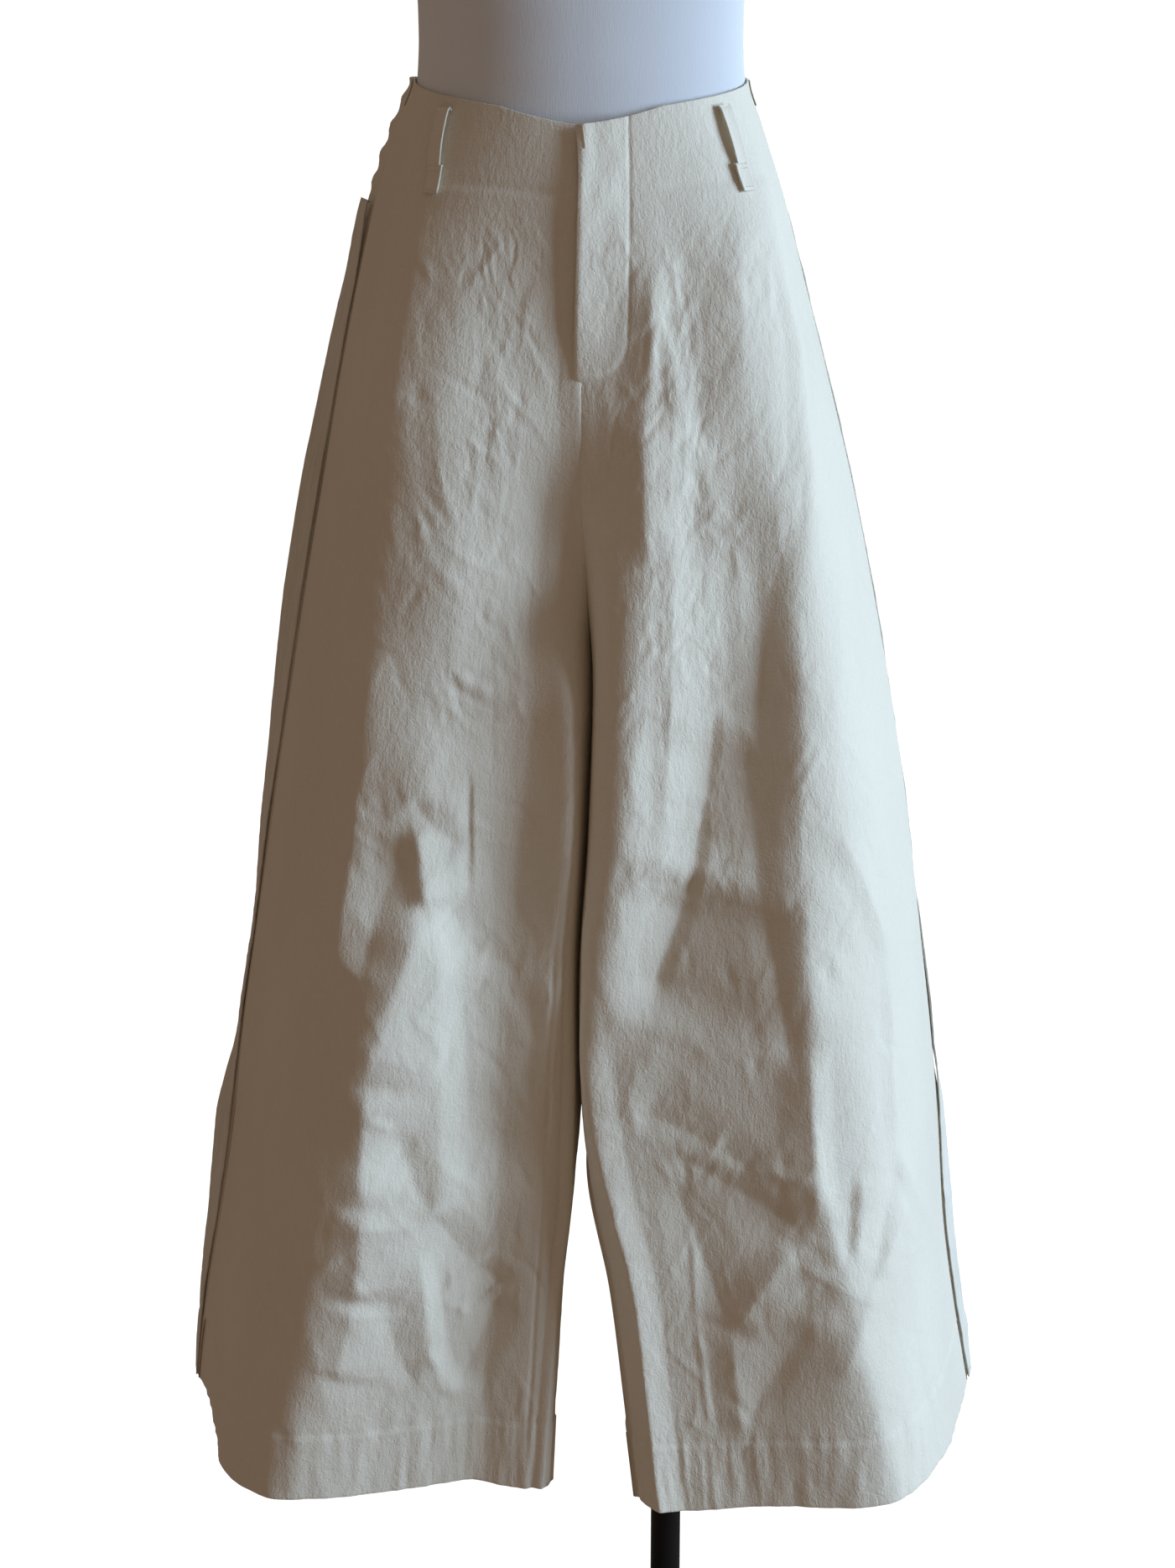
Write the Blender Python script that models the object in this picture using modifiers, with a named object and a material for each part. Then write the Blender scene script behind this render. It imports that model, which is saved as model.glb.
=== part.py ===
"""Wide-leg canvas trousers worn by a limbless dress form on a pole stand.

Metres, +Z up, the front faces -Y. The origin is the centre of the base plate's underside, and the
trousers' centre front and centre back lie in the plane x = 0. "Right" and "left" are the wearer's:
the right leg is at -X, the left leg at +X. Every cloth piece is a thin wall lofted through level
rings, which are worked out from the tables below. "drop" is the distance below the waist's side.
"""
import math

import bpy
import bmesh

# ---- driving dimensions ------------------------------------------------------------------------
WAIST_Z = 1.360          # waist edge at the side seams, above the floor
SIDE_LENGTH = 1.058      # side seam, waist edge to hem
WAIST_DIP = 0.032        # how far the waist edge falls at the centre front
WAIST_LIFT = 0.006       # how far it rises at the centre back
HEM_DIP = 0.020          # how far the hem hangs lower at mid front than at the side
FORK = 0.460             # drop of the crotch fork, where the four panels meet
WALL = 0.0018            # canvas wall
HEM_WALL = 0.0029        # wall where the hem is turned up inside
HEM_DEPTH = 0.040
GAP = 0.0003             # between neighbouring pieces
TAPE_WIDTH = 0.018       # side tape
TAPE_WALL = 0.0012
TAPE_SEAT = 0.0009       # tape to the panel it lies on
TAPE_SHARES = (0.012, 0.05, 0.1)   # the tape's columns, as shares of the back panel's width
TAPE_TOP = 0.0865        # drop of the tape's square top end
FLY_WIDTH = 0.0345
FLY_LENGTH = 0.178       # waist edge to the turn of the J
FLY_WALL = 0.0012
FLY_SEAT = 0.0006        # fly overlap to the panel under it
LOOP_WIDTH = 0.012
LOOP_WALL = 0.0016
LOOP_SEAT = 0.0006       # loop's stitched ends to the panel
LOOP_TOP = 0.008         # a belt loop's top end, its break and its lower end, below the waist edge
LOOP_BREAK = 0.055
LOOP_END = 0.076
LOOP_LIFT = 0.0034       # how far a loop stands off the cloth
LOOP_LEAN = 0.006        # how far a front loop's lower end leans towards the centre
LOOP_PLACE_FRONT = 0.335   # share of the panel's width, from the side seam, where a loop stands
LOOP_PLACE_BACK = 0.46
POLE_X = 0.071           # the pole stands under the wearer's left thigh
POLE_RADIUS = 0.0125
COLLAR_RADIUS = 0.024
COLLAR_HEIGHT = 0.030
BASE_RADIUS = 0.150
BASE_THICKNESS = 0.012
NECK_TOP = 0.470         # form's height above the waist side

COLLECTION = "wide_leg_trousers_on_form"

# ---- ring tables -------------------------------------------------------------------------------
# One row per level of a leg. edge: side seam's distance from the centre plane. fin: how far the
# side tape's outer edge stands beyond it. mid: where the leg is deepest. front, back: depth there.
# inner: inner face's distance from the centre plane (used below the fork). inseam: how far forward
# the inseam lies, as a share of the front depth. outer_power, inner_power: squareness of the ring
# on its outer and inner side. pinch: how far the cloth bows in on both sides of the side seam.
LEG_COLUMNS = ("drop", "edge", "fin", "mid", "front", "back", "inner", "inseam", "outer_power",
               "inner_power", "pinch")
RIGHT_LEG = (
    (-0.02, 0.1215, 0.003, 0.000, 0.0955, 0.0975, 0.0005, 0.000, 2.15, 2.15, 0.0000),
    (0.000, 0.1225, 0.004, 0.000, 0.0955, 0.0975, 0.0005, 0.000, 2.15, 2.15, 0.0000),
    (0.032, 0.1345, 0.005, 0.002, 0.0985, 0.1030, 0.0005, 0.000, 2.20, 2.20, 0.0005),
    (0.086, 0.1525, 0.007, 0.018, 0.1085, 0.1160, 0.0005, 0.000, 2.25, 2.25, 0.0020),
    (0.150, 0.1680, 0.010, 0.036, 0.1165, 0.1270, 0.0005, 0.000, 2.35, 2.30, 0.0045),
    (0.210, 0.1810, 0.013, 0.054, 0.1230, 0.1340, 0.0005, 0.000, 2.40, 2.35, 0.0065),
    (0.300, 0.1985, 0.016, 0.076, 0.1310, 0.1380, 0.0005, 0.000, 2.45, 2.40, 0.0085),
    (0.380, 0.2138, 0.016, 0.095, 0.1370, 0.1380, 0.0005, 0.000, 2.50, 2.60, 0.0100),
    (0.460, 0.2275, 0.013, 0.110, 0.1400, 0.1360, 0.0005, 0.000, 2.50, 3.00, 0.0110),
    (0.550, 0.2430, 0.008, 0.123, 0.1425, 0.1330, 0.0005, 0.500, 2.55, 3.30, 0.0120),
    (0.650, 0.2595, 0.003, 0.134, 0.1440, 0.1300, 0.0006, 0.680, 2.55, 3.60, 0.0135),
    (0.740, 0.2740, 0.004, 0.143, 0.1450, 0.1280, 0.0007, 0.740, 2.60, 4.00, 0.0150),
    (0.820, 0.2845, 0.014, 0.149, 0.1460, 0.1260, 0.0020, 0.820, 2.60, 4.40, 0.0160),
    (0.900, 0.2975, 0.010, 0.157, 0.1465, 0.1240, 0.0110, 0.880, 2.60, 5.20, 0.0170),
    (0.980, 0.3115, 0.005, 0.165, 0.1470, 0.1230, 0.0170, 0.920, 2.60, 6.00, 0.0170),
    (1.080, 0.3245, 0.001, 0.175, 0.1480, 0.1220, 0.0235, 0.945, 2.60, 7.00, 0.0170),
)
LEFT_LEG = (
    (-0.02, 0.1215, -0.002, 0.000, 0.0955, 0.0975, 0.0001, 0.000, 2.15, 2.15, 0.0000),
    (0.000, 0.1225, -0.002, 0.000, 0.0955, 0.0975, 0.0001, 0.000, 2.15, 2.15, 0.0000),
    (0.032, 0.1330, -0.003, 0.002, 0.0985, 0.1030, 0.0001, 0.000, 2.20, 2.20, 0.0005),
    (0.086, 0.1510, -0.004, 0.018, 0.1085, 0.1160, 0.0001, 0.000, 2.25, 2.25, 0.0020),
    (0.150, 0.1685, -0.004, 0.036, 0.1170, 0.1270, 0.0001, 0.000, 2.35, 2.30, 0.0045),
    (0.210, 0.1850, -0.004, 0.054, 0.1240, 0.1340, 0.0001, 0.000, 2.40, 2.60, 0.0065),
    (0.300, 0.2080, -0.004, 0.078, 0.1330, 0.1380, 0.0001, 0.000, 2.45, 4.60, 0.0085),
    (0.380, 0.2255, -0.004, 0.099, 0.1400, 0.1380, 0.0001, 0.000, 2.50, 6.00, 0.0100),
    (0.460, 0.2410, -0.004, 0.115, 0.1440, 0.1360, 0.0001, 0.000, 2.50, 7.00, 0.0110),
    (0.550, 0.2565, -0.004, 0.127, 0.1475, 0.1330, 0.0001, 0.250, 2.55, 7.50, 0.0120),
    (0.650, 0.2700, -0.004, 0.135, 0.1505, 0.1300, 0.0001, 0.300, 2.55, 7.50, 0.0130),
    (0.740, 0.2820, -0.002, 0.140, 0.1530, 0.1280, 0.0004, 0.380, 2.60, 7.50, 0.0135),
    (0.820, 0.2905, 0.005, 0.145, 0.1555, 0.1260, 0.0035, 0.740, 2.60, 7.50, 0.0135),
    (0.900, 0.2970, 0.008, 0.150, 0.1580, 0.1240, 0.0135, 0.866, 2.60, 7.00, 0.0135),
    (0.980, 0.3080, 0.007, 0.156, 0.1610, 0.1230, 0.0230, 0.890, 2.60, 7.00, 0.0130),
    (1.080, 0.3265, 0.001, 0.165, 0.1660, 0.1220, 0.0390, 0.893, 2.60, 7.00, 0.0120),
)
# The rise seam in the centre plane, shared by both legs: its depth in front and behind.
RISE_COLUMNS = ("drop", "front", "back")
RISE = (
    (-0.02, 0.0950, 0.0970), (0.000, 0.0950, 0.0970), (0.032, 0.0978, 0.1020),
    (0.086, 0.1070, 0.1145), (0.150, 0.1120, 0.1225), (0.210, 0.1145, 0.1255),
    (0.300, 0.1120, 0.1210), (0.360, 0.1020, 0.1080), (0.405, 0.0880, 0.0900),
    (0.432, 0.0720, 0.0730), (0.448, 0.0520, 0.0530), (0.456, 0.0320, 0.0330),
    (0.460, 0.0000, 0.0000),
)
# The largest soft folds. side: -1 right, 1 left. face: -1 front, 1 back. x and drop at both ends,
# half width, height (negative is a trough).
FOLD_COLUMNS = ("side", "face", "x_top", "top", "x_end", "end", "half_width", "height")
FOLDS = (
    (1, -1, 0.048, 0.120, 0.058, 0.420, 0.020, 0.0040),
    (1, -1, 0.128, 0.160, 0.150, 0.420, 0.024, 0.0045),
    (1, -1, 0.118, 0.500, 0.145, 0.760, 0.024, -0.0060),
    (1, -1, 0.185, 0.540, 0.228, 0.860, 0.026, 0.0055),
    (1, -1, 0.036, 0.400, 0.034, 0.800, 0.026, 0.0085),
    (1, -1, 0.160, 0.800, 0.205, 0.980, 0.024, 0.0045),
    (-1, -1, 0.085, 0.160, 0.100, 0.430, 0.026, 0.0035),
    (-1, -1, 0.118, 0.520, 0.165, 0.820, 0.026, 0.0060),
    (-1, -1, 0.080, 0.600, 0.070, 0.800, 0.022, -0.0045),
    (-1, -1, 0.140, 0.820, 0.120, 0.980, 0.026, 0.0055),
    (-1, -1, 0.105, 0.930, 0.084, 1.080, 0.026, -0.0170),
    (-1, -1, 0.215, 0.620, 0.255, 0.960, 0.024, -0.0045),
    (1, 1, 0.100, 0.180, 0.120, 0.460, 0.026, 0.0050),
    (1, 1, 0.150, 0.520, 0.190, 0.860, 0.028, -0.0060),
    (1, 1, 0.080, 0.560, 0.090, 0.900, 0.026, 0.0050),
    (-1, 1, 0.090, 0.200, 0.110, 0.480, 0.026, 0.0045),
    (-1, 1, 0.170, 0.500, 0.180, 0.820, 0.028, 0.0055),
    (-1, 1, 0.075, 0.600, 0.100, 0.940, 0.026, -0.0055),
)
# Levels of the panels' rows, and how many columns each panel has.
LEVELS = (0.0, 0.008, 0.024, 0.045, 0.070, 0.0865, 0.0945, 0.120, 0.165, 0.210, 0.255, 0.300,
          0.345, 0.380, 0.405, 0.425, 0.440, 0.450, 0.457, 0.461, 0.470, 0.495, 0.530, 0.580,
          0.640, 0.700, 0.745, 0.785, 0.825, 0.870, 0.920, 0.970, SIDE_LENGTH - HEM_DEPTH,
          SIDE_LENGTH)
FRONT_COLUMNS = 14
BACK_COLUMNS = 15

# Form: height above the waist side, half width, front depth, back depth.
FORM_COLUMNS = ("rise", "half_width", "front", "back", "power")
FORM = (
    (-0.300, 0.118, 0.070, 0.078, 2.2), (-0.290, 0.140, 0.086, 0.098, 2.2),
    (-0.265, 0.156, 0.098, 0.112, 2.2), (-0.230, 0.163, 0.104, 0.119, 2.2),
    (-0.180, 0.161, 0.105, 0.120, 2.2), (-0.120, 0.150, 0.101, 0.114, 2.2),
    (-0.070, 0.136, 0.096, 0.104, 2.2), (-0.032, 0.1245, 0.0928, 0.0953, 2.15),
    (0.000, 0.1200, 0.0928, 0.0947, 2.15), (0.030, 0.1185, 0.091, 0.094, 2.15),
    (0.060, 0.1190, 0.091, 0.094, 2.2), (0.110, 0.127, 0.097, 0.098, 2.2),
    (0.170, 0.139, 0.110, 0.104, 2.2), (0.220, 0.147, 0.119, 0.107, 2.2),
    (0.270, 0.152, 0.112, 0.108, 2.2), (0.320, 0.158, 0.092, 0.104, 2.2),
    (0.360, 0.162, 0.078, 0.094, 2.3), (0.385, 0.150, 0.070, 0.082, 2.3),
    (0.400, 0.118, 0.063, 0.070, 2.2), (0.412, 0.080, 0.056, 0.060, 2.1),
    (0.424, 0.058, 0.050, 0.053, 2.0), (0.445, 0.052, 0.048, 0.050, 2.0),
    (NECK_TOP, 0.050, 0.047, 0.049, 2.0),
)
FORM_SIDES = 32


# ---- small helpers -----------------------------------------------------------------------------
def slopes(rows, column):
    """Monotone slopes at the table's rows, for a smooth curve with no overshoot."""
    steps = []
    for a, b in zip(rows, rows[1:]):
        steps.append((b[column] - a[column]) / (b[0] - a[0]))
    result = [steps[0]]
    for a, b in zip(steps, steps[1:]):
        result.append(0.0 if a * b <= 0 else 2 * a * b / (a + b))
    result.append(steps[-1])
    return result


def table(rows, columns):
    """A function that reads one named column of a table, smoothly, at any place."""
    tangents = {name: slopes(rows, i) for i, name in enumerate(columns) if i}

    def read(place, name):
        column = columns.index(name)
        if place <= rows[0][0]:
            return rows[0][column]
        if place >= rows[-1][0]:
            return rows[-1][column]
        i = next(k for k in range(len(rows) - 1) if place <= rows[k + 1][0])
        width = rows[i + 1][0] - rows[i][0]
        t = (place - rows[i][0]) / width
        a, b = rows[i][column], rows[i + 1][column]
        ma, mb = tangents[name][i] * width, tangents[name][i + 1] * width
        return ((2 * t ** 3 - 3 * t ** 2 + 1) * a + (t ** 3 - 2 * t ** 2 + t) * ma
                + (3 * t ** 2 - 2 * t ** 3) * b + (t ** 3 - t ** 2) * mb)
    return read


LEG = {-1: table(RIGHT_LEG, LEG_COLUMNS), 1: table(LEFT_LEG, LEG_COLUMNS)}
RISE_AT = table(RISE, RISE_COLUMNS)
FORM_AT = table(FORM, FORM_COLUMNS)


def smooth_step(t):
    t = min(1.0, max(0.0, t))
    return t * t * (3 - 2 * t)


# ---- the trousers' rings -----------------------------------------------------------------------
def quarter(reach, depth, power, first, last, steps=20):
    """Part of a superellipse between two angles in quarter turns, 1 at mid front, as (across, y)."""
    points = []
    for i in range(steps + 1):
        angle = math.pi / 2 * (first + (last - first) * i / steps)
        points.append((reach * abs(math.cos(angle)) ** (2 / power),
                       depth * abs(math.sin(angle)) ** (2 / power)))
    return points


def outer_quarter(leg, drop, tip_x, tip_y, depth):
    """From mid front (or mid back) out to the side, bowed in beside the seam."""
    mid = leg(drop, "mid")
    pinch = leg(drop, "pinch")
    points = []
    for x, y in quarter(tip_x - mid, depth - tip_y, leg(drop, "outer_power"), 1, 0):
        bow = pinch * math.sin(math.pi * min(1.0, y / (depth - tip_y)))
        points.append((mid + x - bow, tip_y + y))
    return points


def inner_quarter(leg, drop, depth, seam_depth, inseam):
    """From mid front (or mid back) in to the rise seam, or below the fork to the inseam."""
    mid = leg(drop, "mid")
    power = leg(drop, "inner_power")
    if drop < FORK:
        end = math.asin(min(0.9985, seam_depth / depth) ** (power / 2))
        reach = mid / abs(math.cos(end)) ** (2 / power)
    else:
        end = math.asin(inseam ** (power / 2))
        reach = mid - leg(drop, "inner")
    return [(mid - x, y) for x, y in quarter(reach, depth, power, 1, end * 2 / math.pi)]


def front_curve(side, drop):
    """Front panel's ring from the side seam to its inner edge, as (x outward, y)."""
    leg = LEG[side]
    depth = leg(drop, "front")
    points = outer_quarter(leg, drop, leg(drop, "edge"), 0.0, depth)[::-1]
    points += inner_quarter(leg, drop, depth, RISE_AT(drop, "front"), leg(drop, "inseam"))[1:]
    return [(max(x, GAP / 2), -y) for x, y in points]


def tape_corner(side, drop):
    """Outer edge of the narrow facet that carries the side tape."""
    fin = LEG[side](drop, "fin")
    return LEG[side](drop, "edge") + fin, math.sqrt(TAPE_WIDTH ** 2 - fin ** 2)


def back_curve(side, drop):
    """Back panel's ring from the tape's outer edge round to the inseam or centre back."""
    leg = LEG[side]
    depth = leg(drop, "back")
    points = outer_quarter(leg, drop, *tape_corner(side, drop), depth)[::-1]
    points += inner_quarter(leg, drop, depth, RISE_AT(drop, "back"), 0.0)[1:]
    if drop >= FORK:
        front = leg(drop, "front")
        power = leg(drop, "inner_power")
        reach = leg(drop, "mid") - leg(drop, "inner")
        end = math.asin(leg(drop, "inseam") ** (power / 2)) * 2 / math.pi
        wrap = quarter(reach, front, power, 0, end)
        points += [(leg(drop, "mid") - x, -y) for x, y in wrap[1:]]
    return [(max(x, GAP / 2), y) for x, y in points]


def along(points, length):
    """The point at a length along a polyline."""
    for a, b in zip(points, points[1:]):
        step = math.dist(a, b)
        if length <= step or b is points[-1]:
            t = length / max(step, 1e-12)
            return a[0] + (b[0] - a[0]) * t, a[1] + (b[1] - a[1]) * t
        length -= step


def split_ring(points, split_x):
    """Lengths of a ring outside and inside the place where it first comes in to split_x."""
    outer = inner = 0.0
    inside = False
    for a, b in zip(points, points[1:]):
        step = math.dist(a, b)
        if inside:
            inner += step
        elif b[0] <= split_x:
            share = (a[0] - split_x) / max(a[0] - b[0], 1e-12)
            outer += step * share
            inner += step * (1 - share)
            inside = True
        else:
            outer += step
    return outer, inner


def on_ring(points, split_x, share, middle, crowd):
    """A point of a ring. Columns up to `middle` share the outer length evenly. The rest keep an
    even spacing near the split, and the last ones take up what the crotch hook adds."""
    outer, inner = split_ring(points, split_x)
    if share <= middle:
        return along(points, outer * share / middle)
    t = (share - middle) / (1 - middle)
    plain = min(inner, split_x)
    return along(points, outer + plain * t + (inner - plain) * t ** crowd)


def fold_height(side, face, x, drop):
    """How far the soft folds lift the cloth at a place of one panel."""
    total = 0.0
    for row in FOLDS:
        fold = dict(zip(FOLD_COLUMNS, row))
        if fold["side"] != side or fold["face"] != face:
            continue
        t = (drop - fold["top"]) / (fold["end"] - fold["top"])
        if not -0.2 < t < 1.2:
            continue
        centre = fold["x_top"] + (fold["x_end"] - fold["x_top"]) * t
        fade = smooth_step((t + 0.2) / 0.35) * smooth_step((1.2 - t) / 0.35)
        total += fold["height"] * fade * math.exp(-((x - centre) / fold["half_width"]) ** 2)
    return total


def hem_hang(u):
    """How the front hem falls from the side seam (0) to its lowest stretch."""
    return smooth_step(u / 0.45) * (1 - 0.25 * smooth_step((u - 0.75) / 0.25))


def hook_crowd(drop):
    """How strongly the crotch hook is taken up by the last columns: most beside the fork."""
    return 1.3 + 2.7 * math.exp(-((drop - FORK) / 0.07) ** 2)


def edge_drop(level, top, bottom):
    """A row's true drop: the waist and the hem are curved, the rows between are level."""
    near_top = 1 - smooth_step(level / 0.12)
    near_hem = smooth_step((level - (SIDE_LENGTH - 0.16)) / 0.12)
    return level + top * near_top + bottom * near_hem


def panel_point(side, face, level, u):
    """A point of the trousers' outer surface. u runs from the side seam (0) to the inner edge (1).

    On the back, the first tenth of u is the facet that carries the side tape.
    """
    if face < 0:
        drop = edge_drop(level, WAIST_DIP * (1 - (1 - u) ** 1.3), HEM_DIP * hem_hang(u))
        split = 0.45 * LEG[side](drop, "edge")
        x, y = on_ring(front_curve(side, drop), split, u, 0.5, hook_crowd(drop))
    else:
        hang = HEM_DIP * (0.3 * smooth_step(u / 0.4) + 0.45 * smooth_step((u - 0.8) / 0.2))
        drop = edge_drop(level, -WAIST_LIFT * smooth_step(u), hang)
        corner = tape_corner(side, drop)
        if u < 0.1:
            t = u / 0.1
            x = LEG[side](drop, "edge") * (1 - t) + corner[0] * t
            y = corner[1] * t
        else:
            split = 0.45 * LEG[side](drop, "edge")
            x, y = on_ring(back_curve(side, drop), split, (u - 0.1) / 0.9, 0.4, hook_crowd(drop))
    return side * x, y, WAIST_Z - drop


def panel_normal(side, face, level, u):
    """Unit normal out of the cloth. At the side seam it is shared by front and back."""
    du, dv = 0.004, 0.002
    if u < 0.003:
        a, b = panel_point(side, -1, level, 2 * du), panel_point(side, 1, level, du)
    else:
        a, b = (panel_point(side, face, level, max(0.0, u - du)),
                panel_point(side, face, level, min(1.0, u + du)))
        if face < 0:
            a, b = b, a
    lower = min(level + dv, SIDE_LENGTH)
    upper = max(level - dv, 0.0)
    c, d = panel_point(side, face, upper, u), panel_point(side, face, lower, u)
    across = [q - p for p, q in zip(a, b)]
    down = [q - p for p, q in zip(c, d)]
    n = [across[1] * down[2] - across[2] * down[1], across[2] * down[0] - across[0] * down[2],
         across[0] * down[1] - across[1] * down[0]]
    size = math.hypot(*n) * (-side)
    return [v / size for v in n]


def cloth(side, face, level, u, lift=0.0):
    """A place on the folded cloth, moved out by `lift`."""
    x, y, z = panel_point(side, face, level, u)
    n = panel_normal(side, face, level, u)
    ease = smooth_step(u / 0.12) * smooth_step((1 - u) / 0.12)
    facing = smooth_step((abs(n[1]) - 0.15) / 0.5)
    out = lift + ease * facing * fold_height(side, face, abs(x), WAIST_Z - z)
    return x + n[0] * out, y + n[1] * out, z + n[2] * out


# ---- making objects ----------------------------------------------------------------------------
def clear_scene():
    for thing in list(bpy.data.objects):
        bpy.data.objects.remove(thing, do_unlink=True)
    for group in list(bpy.data.collections):
        bpy.data.collections.remove(group)
    group = bpy.data.collections.new(COLLECTION)
    bpy.context.scene.collection.children.link(group)
    return group


def material(name, color, roughness, metallic=0.0):
    made = bpy.data.materials.new(name)
    made.use_nodes = True
    shader = made.node_tree.nodes["Principled BSDF"]
    shader.inputs["Base Color"].default_value = (*color, 1.0)
    shader.inputs["Roughness"].default_value = roughness
    shader.inputs["Metallic"].default_value = metallic
    return made


def add_object(group, name, mesh, look):
    thing = bpy.data.objects.new(name, mesh)
    mesh.materials.append(look)
    group.objects.link(thing)
    return thing


def finish_mesh(bm, name, smooth=True):
    bmesh.ops.recalc_face_normals(bm, faces=bm.faces)
    mesh = bpy.data.meshes.new(name)
    bm.to_mesh(mesh)
    bm.free()
    if smooth:
        mesh.shade_smooth()
        mesh.set_sharp_from_angle(angle=math.radians(40))
    return mesh


def wall_mesh(name, outer, inner):
    """A closed wall between two grids of points with the same rows and columns."""
    bm = bmesh.new()
    skins = [[[bm.verts.new(p) for p in row] for row in grid] for grid in (outer, inner)]
    rows, columns = len(outer), len(outer[0])
    for skin in skins:
        for i in range(rows - 1):
            for j in range(columns - 1):
                bm.faces.new((skin[i][j], skin[i][j + 1], skin[i + 1][j + 1]))
                bm.faces.new((skin[i][j], skin[i + 1][j + 1], skin[i + 1][j]))
    rim = ([(0, j) for j in range(columns)] + [(i, columns - 1) for i in range(1, rows)]
           + [(rows - 1, j) for j in range(columns - 2, -1, -1)]
           + [(i, 0) for i in range(rows - 2, 0, -1)])
    for (i, j), (k, m) in zip(rim, rim[1:] + rim[:1]):
        bm.faces.new((skins[0][i][j], skins[1][i][j], skins[1][k][m], skins[0][k][m]))
    return finish_mesh(bm, name)


def panel(group, name, side, face, look):
    """One trouser panel: its outer skin, and its inner skin one wall further in."""
    columns = FRONT_COLUMNS if face < 0 else BACK_COLUMNS
    outer, inner = [], []
    trim = GAP * 0.9
    for level in LEVELS:
        wall = WALL if level < SIDE_LENGTH - HEM_DEPTH + 1e-6 else HEM_WALL
        rows = ([], [])
        length = math.dist(panel_point(side, face, level, 0.45),
                           panel_point(side, face, level, 0.55)) * 10
        for j in range(columns + 1):
            if face < 0:
                u = j / columns
            else:
                u = 0.05 * min(j, 2) + 0.9 * max(0, j - 2) / (columns - 2)
            u = min(max(u, trim / length), 1 - trim / length)
            rows[0].append(cloth(side, face, level, u))
            rows[1].append(cloth(side, face, level, u, -wall))
        outer.append(rows[0])
        inner.append(rows[1])
    return add_object(group, name, wall_mesh(name, outer, inner), look)


def side_tape(group, name, side, look):
    """The tape over the side seam, lying on the back panel's facet, with a lifted square top."""
    levels = [v for v in LEVELS if v > TAPE_TOP - 1e-6]
    outer, inner = [], []
    for level in levels:
        lift = 0.004 if level == TAPE_TOP else 0.0
        outer.append([cloth(side, 1, level, u, TAPE_SEAT + TAPE_WALL + lift) for u in TAPE_SHARES])
        inner.append([cloth(side, 1, level, u, TAPE_SEAT + lift) for u in TAPE_SHARES])
    return add_object(group, name, wall_mesh(name, outer, inner), look)


def fly(group, look):
    """The raised fly overlap on the wearer's left front, with its J-shaped lower end."""
    outer, inner = [], []
    columns = 5
    levels = [0.0, 0.018, 0.045, 0.086, 0.120, 0.150]
    levels += [FLY_LENGTH + FLY_WIDTH * 0.9 * math.sin(math.pi / 2 * k / 4) for k in range(5)]
    for level in levels:
        turn = max(0.0, (level - FLY_LENGTH) / (FLY_WIDTH * 0.9))
        reach = FLY_WIDTH * math.sqrt(max(0.02, 1 - turn ** 2))
        rows = ([], [])
        length = math.dist(panel_point(1, -1, level, 0.45), panel_point(1, -1, level, 0.55)) * 10
        for j in range(columns + 1):
            u = 1 - (0.0006 + (reach - 0.0006) * j / columns) / length
            rows[0].append(cloth(1, -1, level, u, FLY_SEAT + FLY_WALL))
            rows[1].append(cloth(1, -1, level, u, FLY_SEAT))
        outer.append(rows[0])
        inner.append(rows[1])
    return add_object(group, "fly", wall_mesh("fly", outer, inner), look)


def belt_loop(group, name, side, face, u, look, lean=0.0):
    """A loop of folded cloth: stitched down at its top and its lower tab, standing off between."""
    profile = ((LOOP_TOP, 0.0), (LOOP_TOP + 0.003, LOOP_LIFT), (0.5 * (LOOP_TOP + LOOP_BREAK),
               LOOP_LIFT), (LOOP_BREAK - 0.003, LOOP_LIFT * 0.9), (LOOP_BREAK, LOOP_LIFT * 0.55),
               (LOOP_END - 0.004, LOOP_LIFT * 0.25), (LOOP_END, 0.0))
    outer, inner = [], []
    for level, lift in profile:
        length = math.dist(panel_point(side, face, level, u - 0.05),
                           panel_point(side, face, level, u + 0.05)) * 10
        shift = lean * (level - LOOP_TOP) / (LOOP_END - LOOP_TOP)
        spots = [u + (shift + w * LOOP_WIDTH) / length for w in (0.5, 0.0, -0.5)]
        outer.append([cloth(side, face, level, s, LOOP_SEAT + LOOP_WALL + lift) for s in spots])
        inner.append([cloth(side, face, level, s, LOOP_SEAT + lift) for s in spots])
    return add_object(group, name, wall_mesh(name, outer, inner), look)


def form_torso(group, look):
    """The limbless torso: level rings closed by flat ends, smooth and whole."""
    bm = bmesh.new()
    rings = []
    for rise, *_ in FORM:
        ring = []
        power = FORM_AT(rise, "power")
        for i in range(FORM_SIDES):
            angle = 2 * math.pi * i / FORM_SIDES
            across, deep = math.cos(angle), math.sin(angle)
            depth = FORM_AT(rise, "front") if deep < 0 else FORM_AT(rise, "back")
            ring.append(bm.verts.new((
                math.copysign(abs(across) ** (2 / power), across) * FORM_AT(rise, "half_width"),
                math.copysign(abs(deep) ** (2 / power), deep) * depth,
                WAIST_Z + rise)))
        rings.append(ring)
    for low, high in zip(rings, rings[1:]):
        for i in range(FORM_SIDES):
            j = (i + 1) % FORM_SIDES
            bm.faces.new((low[i], low[j], high[j], high[i]))
    bm.faces.new(rings[0][::-1])
    bm.faces.new(rings[-1])
    return add_object(group, "form_torso", finish_mesh(bm, "form_torso"), look)


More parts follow.
